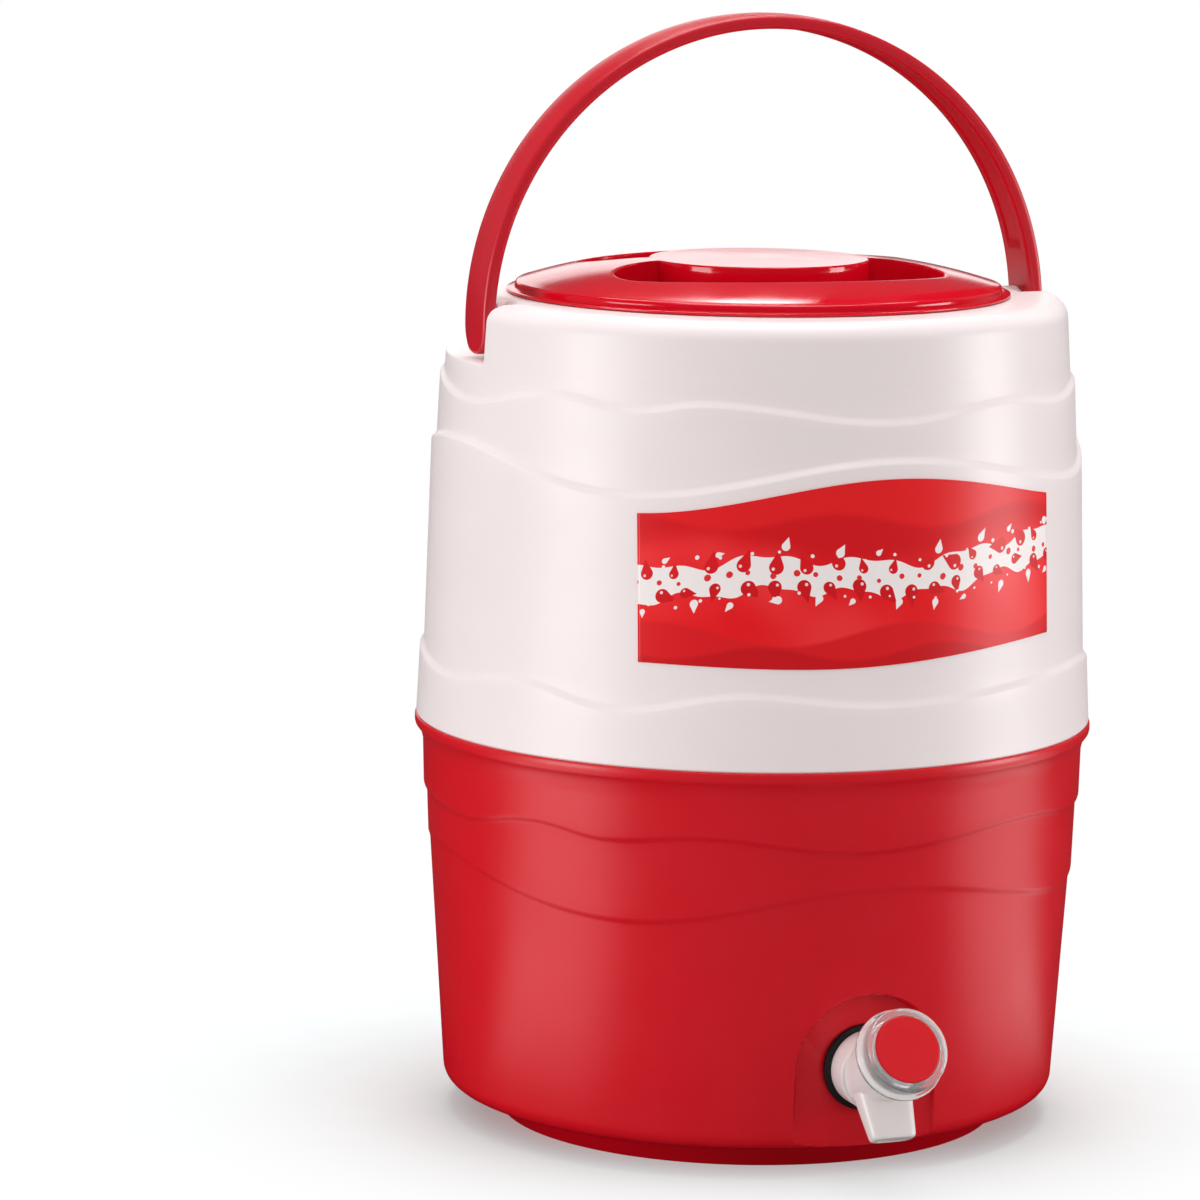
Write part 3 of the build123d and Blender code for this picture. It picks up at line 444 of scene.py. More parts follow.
def upper_rows(inset):
    """Rows of points of the upper shell from the seam up over the shoulder, set in by
    inset. Below the ledge they are round and follow the waves; above it they follow plan."""
    corner = np.degrees(np.arctan2(math.sqrt(CORNER_RADIUS ** 2 - BAY_BACK_Y ** 2), BAY_BACK_Y))
    theta = columns(corner)
    behind = np.repeat([0.0, 1.0, 0.0], [FRONT + WALL, BACK, WALL])
    skirt, belly, collar = (wave(theta, *w) for w in (SKIRT_WAVE, BELLY_WAVE, COLLAR_WAVE))
    flat = 0 * theta
    foot_z, edge_z = SEAM_Z + 0.8, LEDGE - LEDGE_ROUND - inset
    steps = 9 if inset == 0 else 3
    z = np.vstack([
        between(SEAM_Z + flat, foot_z + flat, 2), between(foot_z + flat, skirt - RAMP, 6),
        between(skirt - RAMP, skirt + RAMP, steps), between(skirt + RAMP, belly - RAMP, 14),
        between(belly - RAMP, belly + RAMP, steps), between(belly + RAMP, collar - RAMP, 6),
        between(collar - RAMP, collar + RAMP, steps),
        between(collar + RAMP, edge_z + flat, 3, True),
    ])
    radius = taper(z, *SKIRT_SIDE) - np.clip(foot_z - z, 0, 1) * (inset == 0)
    for level, side in ((skirt, BELLY_SIDE), (belly, BAND_SIDE), (collar, COLLAR_SIDE)):
        radius = radius + (taper(z, *side) - radius) * ease((z - level + RAMP) / (2 * RAMP))
    rows = [turn(radius - inset, theta, z)]
    # The ledge's outer edge is rounded behind the walls only
    edge = np.radians([30, 60, 90])[:, None]
    edge_radius = 138.7 - inset - LEDGE_ROUND * (1 - np.cos(edge)) * behind
    rows.append(turn(edge_radius, theta, edge_z + LEDGE_ROUND * np.sin(edge) + flat))
    # Up the collar, with a fillet at its foot and roundings at its shoulder and walls
    fillet, shoulder, wall_round = 1.5, 8, 5
    foot, rise = np.radians([0, 30, 60, 90]), np.radians(np.linspace(0, 90, 10))
    heights = np.concatenate([
        LEDGE + fillet * (1 - np.cos(foot)), [350, 356, 360],
        TOP - shoulder + shoulder * np.sin(rise),
    ])
    heights = (heights - inset).clip(LEDGE - inset, TOP - inset)
    above = heights + inset
    foot_in = 1 - np.clip((above - LEDGE) / fillet, 0, 1)
    spread = fillet * (1 - np.sqrt(1 - foot_in ** 2))
    draw_in, wall_in = (
        size - np.sqrt(size ** 2 - np.clip(above - (TOP - size), 0, size) ** 2)
        for size in (shoulder, wall_round)
    )
    x, y = plan(
        taper(above, *COLLAR_SIDE) - draw_in - inset, BAY_BACK_Y + wall_in + inset - spread,
        BAY_RADIUS - draw_in - inset + spread,
    )
    rows.append(np.stack([x, y, heights[:, None] + 0 * x], axis=-1))
    return np.vstack(rows)


def upper_shell():
    """Closed skin: outside from the seam to the shoulder, in to the mouth and its rebate,
    then down the inside. The mouth's columns are round, with their walls at MOUTH_ANGLE."""
    lip = np.array([
        (111.2, TOP), (110.6, 369.75), (110.3, 369.1), (110.3, 367.6), (103.0, 367.6),
        (102.5, 367.1), (102.5, 365.0), (111.6, 365.0),
    ])
    ring = turn(lip[:, :1], columns(MOUTH_ANGLE)[None], lip[:, 1:])
    skins = [upper_rows(0), ring, upper_rows(SHELL_WALL)[::-1]]
    return surface(np.vstack(skins), along=True)


PIVOT = (0, 0, 359)
boss_outline = rounded([(7.05, 114), (11, 114), (11, 125.6), (7.05, 125.6)], 0.7)
bosses = [lathe(boss_outline, PIVOT, (side, 0, 0), 64) for side in (-1, 1)]
# Polypropylene, satin-moulded: clean white with a trace of warmth
white_shell = moulded(
    "satin white polypropylene", "#F5E8E8", "#FBEFEF", 0.34, 0.0, 0.4, 0.8, 0.3,
)
piece(
    "white_shell", "jug", white_shell, [upper_shell(), *bosses], ["upper_shell"],
)


# ----------------------------------------------------------------------- Label
# A printed self-adhesive film on the belly, cut parallel to the wave above it. Generic
# print: red swells in several tones, and a white ribbon splashed with drops and bubbles.

LABEL_START = -42.2
LABEL_SPAN = 79.7
LABEL_FOOT = 224.0
LABEL_RADIUS = 146.5
MAP_UNIT = 100
LOW_WAVE = (227.0, 4.0, [
    (-60, -0.2), (-42, -0.3), (-12, -0.6), (40, 1.0), (120, 0.0), (220, 0.0),
])


def label_film():
    """Film 0.3 mm thick, 0.2 mm of adhesive under it: rows run from its lower wavy edge
    to its upper one, following the belly's draft. Its left end leans by 0.75 degrees."""
    share = np.linspace(0, 1, 41)[:, None]
    along = np.linspace(0, 1, 161)
    theta = LABEL_START + LABEL_SPAN * along + 0.75 * (1 - share) * (1 - along)
    low, high = wave(theta, *LOW_WAVE), wave(theta, *BELLY_WAVE) - 7.5
    z = low + (high - low) * share
    side = taper(z, *BELLY_SIDE)
    skins = [turn(side + 0.5, theta, z), turn(side + 0.2, theta, z)[::-1]]
    return surface(np.concatenate(skins), around=False, along=True)


SMOOTH = {"interpolation_type": "SMOOTHSTEP"}


def label_print():
    """Printed film in millimetres of its own map. Swells and the ribbon's edges are sums
    of sines. Each row of drops has one in every pitch, with its place, tilt and size from
    a hash of the pitch's number; a drop is max(r - |p|, min(cone to the tip, x - r^2/L)),
    and the larger ones have a glint."""
    material, tree = start_material("printed polyester film")
    uv = add(tree, "UVMap", uv_map="print")
    mm = add(tree, "VectorMath", {0: uv, 1: (MAP_UNIT, MAP_UNIT, 1)}, operation="MULTIPLY")
    across, up, _ = add(tree, "SeparateXYZ", {0: mm}).outputs

    def sine(length, size, shift, base):
        """base plus size times the sine of across over a wave length in millimetres."""
        angle = {0: across, 1: 2 * math.pi / length, 2: shift}
        angle = add(tree, "Math", angle, operation="MULTIPLY_ADD")
        swing = add(tree, "Math", {0: angle}, operation="SINE")
        return add(tree, "Math", {0: swing, 1: size, 2: base}, operation="MULTIPLY_ADD")

    def over(height, line, soft):
        """0 below a line and 1 above it, softened over some millimetres."""
        gap = add(tree, "Math", {0: height, 1: line}, operation="SUBTRACT")
        return add(tree, "MapRange", {"Value": gap, "From Min": -soft, "From Max": soft}, **SMOOTH)

    slow = add(tree, "TexNoise", {"Vector": mm, "Scale": 1 / 55, "Detail": 1.0})
    slow = add(tree, "MapRange", {"Value": slow, "From Min": 0.35, "From Max": 0.65}, **SMOOTH)
    colour = {0: slow, 6: linear("#F20E18"), 7: linear("#FC3438")}
    colour = add(tree, "Mix", colour, data_type="RGBA")
    # Two swells come down from the top and two rise from the bottom
    for share, code in (
        (over(up, sine(150, 6.0, 0.4, 50.0), 7.0), "#E00C18"),
        (over(up, sine(95, 3.5, 2.2, 63.0), 2.0), "#F01A20"),
        (over(sine(110, 4.5, 1.0, 15.0), up, 1.2), "#E6141E"),
        (over(sine(80, 3.0, 3.6, 7.0), up, 1.2), "#D40C17"),
    ):
        colour = add(tree, "Mix", {0: share, 6: colour, 7: linear(code)}, data_type="RGBA")
    # The ribbon climbs slowly along its middle and has a wavy edge on either side
    middle = add(tree, "Math", {0: across, 1: 0.035, 2: 36.5}, operation="MULTIPLY_ADD")
    middle = sine(130, 2.5, 5.0, middle)
    high = add(tree, "Math", {0: middle, 1: 6.8}, operation="ADD")
    high = sine(47, 1.8, 0.7, sine(23, 1.1, 2.0, high))
    low = add(tree, "Math", {0: middle, 1: -6.6}, operation="ADD")
    low = sine(36, 2.0, 4.2, sine(17, 0.8, 1.0, low))
    ribbon = {0: over(up, low, 0.12), 1: over(high, up, 0.12)}
    ribbon = add(tree, "Math", ribbon, operation="MULTIPLY")
    colour = {0: ribbon, 6: colour, 7: linear("#FFF6F4")}
    colour = add(tree, "Mix", colour, data_type="RGBA")
    # Rows of drops: pitch, shift, height over the ribbon's middle, size, tilt and its
    # spread in radians, distance from centre to tip in sizes, colour
    level = add(tree, "Math", {0: up, 1: middle}, operation="SUBTRACT")
    for pitch, shift, lift, size, tilt, spread, tip, code in (
        (13.5, 0.1, 4.4, 6.4, 2.2, 2.2, 1.15, "#E6121C"),
        (12.0, 0.6, -4.4, 5.8, -0.9, 2.2, 1.15, "#DC0E19"),
        (9.5, 0.35, 0.3, 2.7, 0.0, 0.0, 0.55, "#F02C30"),
        (23.0, 0.8, 10.4, 3.6, 0.8, 1.6, 1.15, "#FFF6F4"),
        (18.0, 0.2, -10.6, 3.3, -2.3, 1.6, 1.15, "#FFF6F4"),
        (12.5, 0.5, 8.8, 1.7, 0.0, 0.0, 0.55, "#FFF6F4"),
        (10.5, 0.9, -8.8, 1.4, 0.0, 0.0, 0.55, "#FFF6F4"),
    ):
        count = add(tree, "Math", {0: across, 1: 1 / pitch, 2: shift}, operation="MULTIPLY_ADD")
        number = add(tree, "Math", {0: count}, operation="FLOOR")
        seed = add(tree, "Math", {0: number, 1: lift}, operation="ADD")
        chance = add(tree, "TexWhiteNoise", {"W": seed}, noise_dimensions="1D")
        hashed = chance.outputs["Color"]
        # Where the drop lies in its pitch, then the place relative to it in its own sizes
        spot = add(tree, "Math", {0: count, 1: number}, operation="SUBTRACT")
        spot = add(tree, "CombineXYZ", {0: spot, 1: level})
        centre = {0: hashed, 1: (0.3, 3.0, 0), 2: (0.35, lift - 1.5, 0)}
        centre = add(tree, "VectorMath", centre, operation="MULTIPLY_ADD")
        spot = add(tree, "VectorMath", {0: spot, 1: centre}, operation="SUBTRACT")
        spot = add(tree, "VectorMath", {0: spot, 1: (pitch, 1, 1)}, operation="MULTIPLY")
        blue = add(tree, "SeparateColor", {0: hashed}).outputs["Blue"]
        angle = {0: blue, 1: -spread, 2: spread / 2 - tilt}
        angle = add(tree, "Math", angle, operation="MULTIPLY_ADD")
        turned = {"Vector": spot, "Angle": angle}
        spot = add(tree, "VectorRotate", turned, rotation_type="Z_AXIS")
        scale = {0: chance.outputs["Value"], 1: 0.45 * size, 2: 0.65 * size}
        scale = add(tree, "Math", scale, operation="MULTIPLY_ADD")
        spot = add(tree, "VectorMath", {0: spot, 1: scale}, operation="DIVIDE")
        # The drop's round body, and its tail up to the tip
        x, y, _ = add(tree, "SeparateXYZ", {0: spot}).outputs
        body = add(tree, "VectorMath", {0: spot}, operation="LENGTH")
        body = add(tree, "Math", {0: 0.5, 1: body}, operation="SUBTRACT")
        narrow = 0.5 / tip
        beside = add(tree, "Math", {0: y}, operation="ABSOLUTE")
        cone = add(tree, "Math", {0: x, 1: -narrow, 2: 0.5}, operation="MULTIPLY_ADD")
        cone = {0: beside, 1: -math.sqrt(1 - narrow ** 2), 2: cone}
        cone = add(tree, "Math", cone, operation="MULTIPLY_ADD")
        tail = add(tree, "Math", {0: x, 1: 0.25 / tip}, operation="SUBTRACT")
        tail = add(tree, "Math", {0: cone, 1: tail}, operation="MINIMUM")
        shape = add(tree, "Math", {0: body, 1: tail}, operation="MAXIMUM")
        shape = add(tree, "Math", {0: shape, 1: scale}, operation="MULTIPLY")
        colour = {0: over(shape, 0.0, 0.1), 6: colour, 7: linear(code)}
        colour = add(tree, "Mix", colour, data_type="RGBA")
        if size > 5:
            glint = add(tree, "VectorMath", {0: spot, 1: (-0.14, 0.2, 0)}, operation="DISTANCE")
            colour = {0: over(0.11, glint, 0.02), 6: colour, 7: linear("#FFE3E0")}
            colour = add(tree, "Mix", colour, data_type="RGBA")
    orange_peel = add(tree, "TexNoise", {"Vector": mm, "Scale": 1 / 2.0, "Detail": 1.0})
    bump = add(tree, "Bump", {"Height": orange_peel, "Strength": 0.12, "Distance": 0.0001})
    shader = add(tree, "BsdfPrincipled", {
        "Base Color": colour, "Roughness": 0.34, "IOR": 1.5, "Specular IOR Level": 0.28,
        "Normal": bump,
    })
    add(tree, "OutputMaterial", {0: shader})
    return material


label = piece("printed_label", "jug", label_print(), [label_film()], ["label"])
# The film's ends are closed, and it gets the print's own map: along the film and up it
# from its foot, in units of 100 mm
work = bmesh.new()
work.from_mesh(label.data)
bmesh.ops.holes_fill(work, edges=[e for e in work.edges if e.is_boundary])
bmesh.ops.recalc_face_normals(work, faces=work.faces)
work.to_mesh(label.data)
work.free()
label.data.uv_layers.new(name="print")
corner_of = np.zeros(len(label.data.loops), np.int32)
label.data.loops.foreach_get("vertex_index", corner_of)
place = np.zeros(len(label.data.vertices) * 3)
label.data.vertices.foreach_get("co", place)
place = place.reshape(-1, 3)[corner_of] * MM_PER_M
turned = np.degrees(np.arctan2(place[:, 0], -place[:, 1])) - LABEL_START
uv = np.stack([np.radians(turned) * LABEL_RADIUS, place[:, 2] - LABEL_FOOT], axis=-1) / MAP_UNIT
label.data.uv_layers["print"].data.foreach_set("uv", uv.ravel())


# --------------------------------------------------------------- Pivot bushes
# White acetal bushes pressed into the collar's bosses: a flange carries the handle's
# end, and the pin turns inside.

# Acetal as it comes from the mould: a quiet white sheen
white_bush = moulded("white acetal", "#EEEAE6", "#F4F1ED", 0.34, 0.0, 0.5, 0.7, 0.2)
bush_outline = rounded([
    (4.05, 114.6), (7, 114.6), (7, 125.6), (9.5, 125.6), (9.5, 127.6), (4.05, 127.6),
], 0.4)
for side, name in ((-1, "left"), (1, "right")):
    piece(
        f"handle_bush_{name}", "jug", white_bush,
        [lathe(bush_outline, PIVOT, (side, 0, 0), 64)], [f"pivot_bush_{name}"],
    )


# --------------------------------------------------------- Tap body and washers
# The push tap: white moulded body of shank, round barrel, tilted housing and a flat
# tapering spout. A black rubber washer seals it to the shell, and a nut clamps it inside.

# Acetal from a smooth mould: cool white with a soft shine under its skin
tap_plastic = moulded("glossy white acetal", "#EFE6E4", "#F6EFED", 0.33, 0.25, 0.5, 0.6, 0.2)
# Where the barrel's axis meets the button's, and that axis and the one square to it
TILT = math.radians(28.4)
ELBOW = np.array([0, -146.5, TAP_Z])
KNOB_AXIS = np.array([0, -math.cos(TILT), math.sin(TILT)])
DOWN = np.array([0, -math.sin(TILT), -math.cos(TILT)])
# Radius of the circle in the housing's wall that the spout grows from, and its drop
HOUSING = 14.5
SPOUT_TOP = 10


def oblong(rings):
    """Rounded oblong rings square to the spout, each given as width, depth, corner
    radius, drop below the button's axis and middle. |cos| and |sin| to the power 0.34 are
    pushed out to straight sides and rounded corners. A ring at SPOUT_TOP lies in the
    housing's wall, where its drop is sqrt(HOUSING^2 - x^2), at most SPOUT_TOP."""
    width, depth, radius, drop, middle = np.array(rings).T[..., None]
    a = np.linspace(0, 2 * np.pi, 72, endpoint=False)[None]
    c, s = np.cos(a), np.sin(a)
    x = np.sign(c) * (np.abs(c) ** 0.34) * (width / 2 - radius) + radius * c
    y = np.sign(s) * (np.abs(s) ** 0.34) * (depth / 2 - radius) + radius * s
    in_wall = np.sqrt(np.maximum(HOUSING ** 2 - x ** 2, 0)).clip(0, SPOUT_TOP)
    down = np.where(drop > SPOUT_TOP, drop, in_wall)
    return (
        ELBOW + x[..., None] * np.array([1, 0, 0]) + (middle + y)[..., None] * KNOB_AXIS
        + down[..., None] * DOWN
    )


# The spout's outside, which stands 0.4 mm to one side, and then its passage
spout_outside = oblong([
    (25.0, 14.0, 2.4, SPOUT_TOP, 2.0), (24.5, 13.4, 2.3, 10.5, 2.3), (20.7, 9.4, 2.0, 28.4, 4.3),
    (20.4, 9.3, 2.0, 29.4, 4.4), (19.8, 9.0, 2.0, 30.2, 4.4), (18.8, 8.5, 1.9, 30.7, 4.4),
    (16.8, 7.4, 1.2, 31, 4.4),
]) + np.array([0.4, 0, 0])
passage = oblong([
    (12.8, 7.2, 1.8, 31, 4.4), (12.0, 6.4, 1.8, 30.5, 4.4), (12.0, 6.4, 1.8, SPOUT_TOP, 4.4),
])
spout = surface(np.vstack([spout_outside, passage]), along=True)
barrel = lathe(rounded([
    (5.5, 94.3), (9, 94.3), (9, 136), (16.6, 136), (16.6, 148), (9.3, 148), (9.3, 139.5),
    (7.0, 135.5), (5.5, 135.5),
], 0.9), tap_origin, tap_axis, 128)
housing = lathe(rounded([
    (4.4, -3.5), (15, -3.5), (15, 30), (11.5, 30), (11.5, 15), (2.6, 15), (2.6, 12), (9, 12),
    (9, 0), (4.4, 0),
], 0.6), ELBOW, KNOB_AXIS, 128)
piece("push_tap", "jug", tap_plastic, [barrel, housing, spout], ["tap_body"])


def rubbery(name, colour):
    """Moulded rubber: near black, dull, with a bloom of fine powder 1.5 mm across."""
    material, tree = start_material(name)
    mm = millimetres(tree)
    bloom = add(tree, "TexNoise", {"Vector": mm, "Scale": 1 / 1.5, "Detail": 4.0})
    tint = add(tree, "Mix", {0: bloom, 6: linear(colour), 7: linear("#1C1B1C")}, data_type="RGBA")
    bump = add(tree, "Bump", {"Height": bloom, "Strength": 0.3, "Distance": 0.0002})
    shader = add(tree, "BsdfPrincipled", {
        "Base Color": tint, "Roughness": 0.62, "IOR": 1.52, "Normal": bump,
    })
    add(tree, "OutputMaterial", {0: shader})
    return material


rubber = rubbery("black nitrile rubber", "#0A0A0B")
for name, node, inner, outer, low, high, edge, count in (
    ("tap_face_washer", "tap_outer_washer", 9.2, 19, 133, 136, 0.7, 128),
    ("tap_back_washer", "tap_inner_washer", 9.2, 15.5, 105.3, 107.5, 0.4, 96),
):
    outline = rounded([(inner, low), (outer, low), (outer, high), (inner, high)], edge)
    piece(
        name, "jug", rubber, [lathe(outline, tap_origin, tap_axis, count)], [node],
    )
dress(nodes["tap_nut"], tap_plastic)
dress(nodes["stem_o_ring"], rubber)
dress(nodes["valve_seal"], rubber)


# ------------------------------------------------------------- Spring and stem
# A coil of stainless spring wire pushes the button out. The white stem runs from the
# button through the housing and pulls the seal against its seat.

def drawn_steel(name):
    """Stainless spring wire: drawing lines 0.3 mm apart break its gloss."""
    material, tree = start_material(name)
    mm = millimetres(tree)
    lines = add(tree, "TexNoise", {"Vector": mm, "Scale": 1 / 0.3, "Detail": 2.0})
    gloss = add(tree, "MapRange", {"Value": lines, "To Min": 0.18, "To Max": 0.34})
    shader = add(tree, "BsdfPrincipled", {
        "Base Color": linear("#C9C8C6"), "Metallic": 1.0, "Roughness": gloss,
    })
    add(tree, "OutputMaterial", {0: shader})
    return material


dress(nodes["tap_spring"], drawn_steel("stainless spring wire"))
dress(nodes["tap_stem"], tap_plastic)


# ---------------------------------------------------------------- Push button
# A clear cup of polystyrene crystal over the housing's end, with a stepped rim. A plain
# red disc is set into its face; pressed in 3.5 mm, it opens the valve.

def crystal(name):
    """Clear polystyrene: mostly see-through, a faint cool tint, flow lines over 6 mm."""
    material, tree = start_material(name)
    mm = millimetres(tree)
    flow = add(tree, "TexNoise", {"Vector": mm, "Scale": 1 / 6, "Detail": 2.0})
    bump = add(tree, "Bump", {"Height": flow, "Strength": 0.3, "Distance": 0.0006})
    gloss = add(tree, "MapRange", {"Value": flow, "To Min": 0.03, "To Max": 0.1})
    shader = add(tree, "BsdfPrincipled", {
        "Base Color": linear("#F7FAFA"), "Roughness": gloss, "IOR": 1.5,
        "Transmission Weight": 0.82, "Normal": bump,
    })
    add(tree, "OutputMaterial", {0: shader})
    return material


knob_outline = rounded([
    (15.3, 26.5), (19.9, 26.5), (19.9, 29.3), (17.6, 30.0), (18.2, 31.6), (18.2, 38),
    (14.8, 38), (14.8, 36.6), (0, 36.6), (0, 34.0), (15.3, 34.0),
], 1.1)
piece(
    "clear_button", "button", crystal("clear polystyrene"),
    [lathe(knob_outline, ELBOW, KNOB_AXIS, 128)], ["tap_knob"],
)
badge_outline = rounded([
    (0, 36.62), (14.7, 36.62), (14.7, 37.5), (14.1, 37.8), (9, 38.0), (0, 38.0),
], 0.3)
# Polystyrene printed red and varnished: even, with a thin clear coat
red_disc = moulded("printed red disc", "#DA0A18", "#E4101E", 0.34, 0.1, 0.45, 0.6, 0.15)
piece(
    "button_disc", "button", red_disc, [lathe(badge_outline, ELBOW, KNOB_AXIS, 128)],
    ["tap_badge"],
)


# ---------------------------------------------------------------------- Handle
# The hoop handle: one flat strap of bright red polypropylene, rounded at its edges and
# grooved along its inner face to save weight, its round ends carried by two pins.

HOOP_RADIUS = 131
STRAP_HALF = 13


def handle_hoop():
    """Strap section carried along a half circle about the pivots and down past them. At
    depth e below a pivot the half width is sqrt(13^2 - e^2), the last 2 mm are thinned to
    a round edge, and the groove has faded out."""
    arc = np.linspace(0, np.pi, 181)
    depth = STRAP_HALF * np.sin(np.linspace(0, np.pi / 2, 22))[1:]
    below = np.concatenate([depth[::-1], 0 * arc, depth])
    angle = np.concatenate([0 * depth, arc, 0 * depth + np.pi])
    half = np.sqrt(np.maximum(STRAP_HALF ** 2 - below ** 2, 0))
    last = (below - (STRAP_HALF - 2)).clip(0, 2)
    thick = 1 + np.sqrt(4 - last ** 2)
    # Section: rounded rectangle 6 by 26 with 2.4 mm corners and a slightly crowned outside
    low, high = -STRAP_HALF, STRAP_HALF
    line = rounded([(103, low), (109, low), (109, high), (103, high)], 2.4) - [106, 0]
    inner = np.stack([np.full(41, -3.0), np.linspace(10.2, -10.2, 41)], axis=-1)
    crown = np.linspace(-10.4, 10.4, 21)
    outer = np.stack([3.7 - 0.7 * (crown / 10.4) ** 2, crown], axis=-1)
    section = np.vstack([line[6:12], outer, line[12:18], line[18:24], inner, line[0:6]])
    n, y = section.T
    # The groove is 0.9 mm deep and fades out over 1.2 degrees, 13 degrees above the pivots
    groove = 0.9 * ease((6.9 - np.abs(y)) / 0.8) * (n < -2.9)
    fade = ease((np.minimum(angle, np.pi - angle) - math.radians(13)) / math.radians(1.2))
    radius = HOOP_RADIUS + n * thick[:, None] / 3 + groove * fade[:, None]
    width = y * half[:, None] / STRAP_HALF
    x = radius * np.cos(angle)[:, None]
    z = PIVOT[2] + radius * np.sin(angle)[:, None] - below[:, None]
    return surface(np.stack([x, width, z], axis=-1))


# Polypropylene from a fine mould: clear bright red with a soft sheen and slight waviness
red_gloss = moulded("glossy red polypropylene", "#C6041C", "#D00824", 0.33, 0.0, 0.6, 1.2, 0.02)
piece("hoop_handle", "handle", red_gloss, [handle_hoop()], ["handle"])
pin_outline = rounded([(0, 113), (4, 113), (4, 131), (0, 131)], 0.4)
for side, name in ((-1, "left"), (1, "right")):
    piece(
        f"handle_pin_{name}", "handle", white_bush,
        [lathe(pin_outline, PIVOT, (side, 0, 0), 48)], [f"pivot_pin_{name}"],
    )


# ----------------------------------------------------- Lid gasket, base and cover
# The lid: a polished red dome with two crescent finger scoops round its flat middle,
# snapped on a white plug that is filled with foam and sits on a silicone ring.

def silicone(name):
    """Translucent silicone: soft grey-white, light soaks in about 2 mm."""
    material, tree = start_material(name)
    mm = millimetres(tree)
    haze = add(tree, "TexNoise", {"Vector": mm, "Scale": 1 / 8, "Detail": 2.0})
    tint = add(tree, "Mix", {0: haze, 6: linear("#DEDCD6"), 7: linear("#ECEAE5")}, data_type="RGBA")
    shader = add(tree, "BsdfPrincipled", {
        "Base Color": tint, "Roughness": 0.5, "IOR": 1.41, "Subsurface Weight": 0.15,
        "Subsurface Radius": (0.002, 0.002, 0.002), "Subsurface Scale": 1.0,
    })
    add(tree, "OutputMaterial", {0: shader})
    return material


gasket_outline = rounded([(100.8, 369.8), (104, 369.8), (104, 371.4), (100.8, 371.4)], 0.5)
piece(
    "silicone_ring", "lid_ring", silicone("translucent silicone"),
    [lathe(gasket_outline, count=240)], ["lid_gasket"],
)
base_outline = rounded([
    (0, 345.4), (98.4, 345.4), (98.4, 371.4), (103.2, 371.4), (103.2, 372.9), (96.2, 372.9),
    (96.2, 347.6), (0, 347.6),
], 0.8)
piece("lid_plug", "lid", liner_white, [lathe(base_outline, count=240)], ["lid_base"])


# The dome's rim and its rounding, the scoops' floor, and the roundings of their edges and
# feet
NOSE = 108.2
NOSE_ROUND = 1.6
SCOOP_FLOOR = 372.0
SCOOP_EDGE = 0.9
SCOOP_FOOT = 1.6
# A scoop's outer ellipse, end circles and inner circle, and the bridge's half width
OVAL = (90, 78)
END_RADIUS = 26
MIDDLE_RADIUS = 49
BRIDGE = 8


def dome(r):
    """Height of the lid's top: crowned by 0.4 mm up to r = 50, then the circle through
    (50, 385.4), (84, 380.9) and (NOSE, 374.4)."""
    p, q, s = np.array([50, 385.4]), np.array([84, 380.9]), np.array([NOSE, 374.4])
    centre = np.linalg.solve(2 * np.array([q - p, s - p]), [q @ q - p @ p, s @ s - p @ p])
    arc = centre[1] + np.sqrt(np.sum((p - centre) ** 2) - (r - centre[0]) ** 2)
    return np.where(r < 50, 385.8 - 0.4 * (r / 50) ** 2, arc)


def scoop_limits(count):
    """Angles from the X axis over a quarter turn, and a scoop's inner and outer radius at
    each. Outside it follows the ellipse OVAL, then the end circle that touches the
    ellipse and the bridge's edge; inside, the middle circle, the end circle or that edge."""
    e = np.linspace(0.05, 1.5, 3000)
    ellipse = np.stack([OVAL[0] * np.cos(e), OVAL[1] * np.sin(e)])
    cy = BRIDGE + END_RADIUS
    tries = np.linspace(40, 75, 1400)
    gaps = np.hypot(ellipse[0][None] - tries[:, None], ellipse[1][None] - cy)
    best = np.argmin(np.abs(gaps.min(axis=1) - END_RADIUS))
    cx = tries[best]
    touch = ellipse[:, np.argmin(gaps[best])]
    start = math.asin(cy / math.hypot(cx, cy)) - math.asin(END_RADIUS / math.hypot(cx, cy))
    a = start + (np.pi / 2 - start) * np.linspace(0, 1, count) ** 1.8
    along = cx * np.cos(a) + cy * np.sin(a)
    root = np.sqrt(np.maximum(along ** 2 - cx ** 2 - cy ** 2 + END_RADIUS ** 2, 0))
    oval = 1 / np.hypot(np.cos(a) / OVAL[0], np.sin(a) / OVAL[1])
    outside = np.where(a < math.atan2(touch[1], touch[0]), along + root, oval)
    edge = np.where(a < math.atan2(BRIDGE, cx) + 0.06, along - root, BRIDGE / np.sin(a))
    edge = np.where(a > math.asin(BRIDGE / MIDDLE_RADIUS), 0, edge)
    return a, np.minimum(np.maximum(MIDDLE_RADIUS, edge), outside), outside


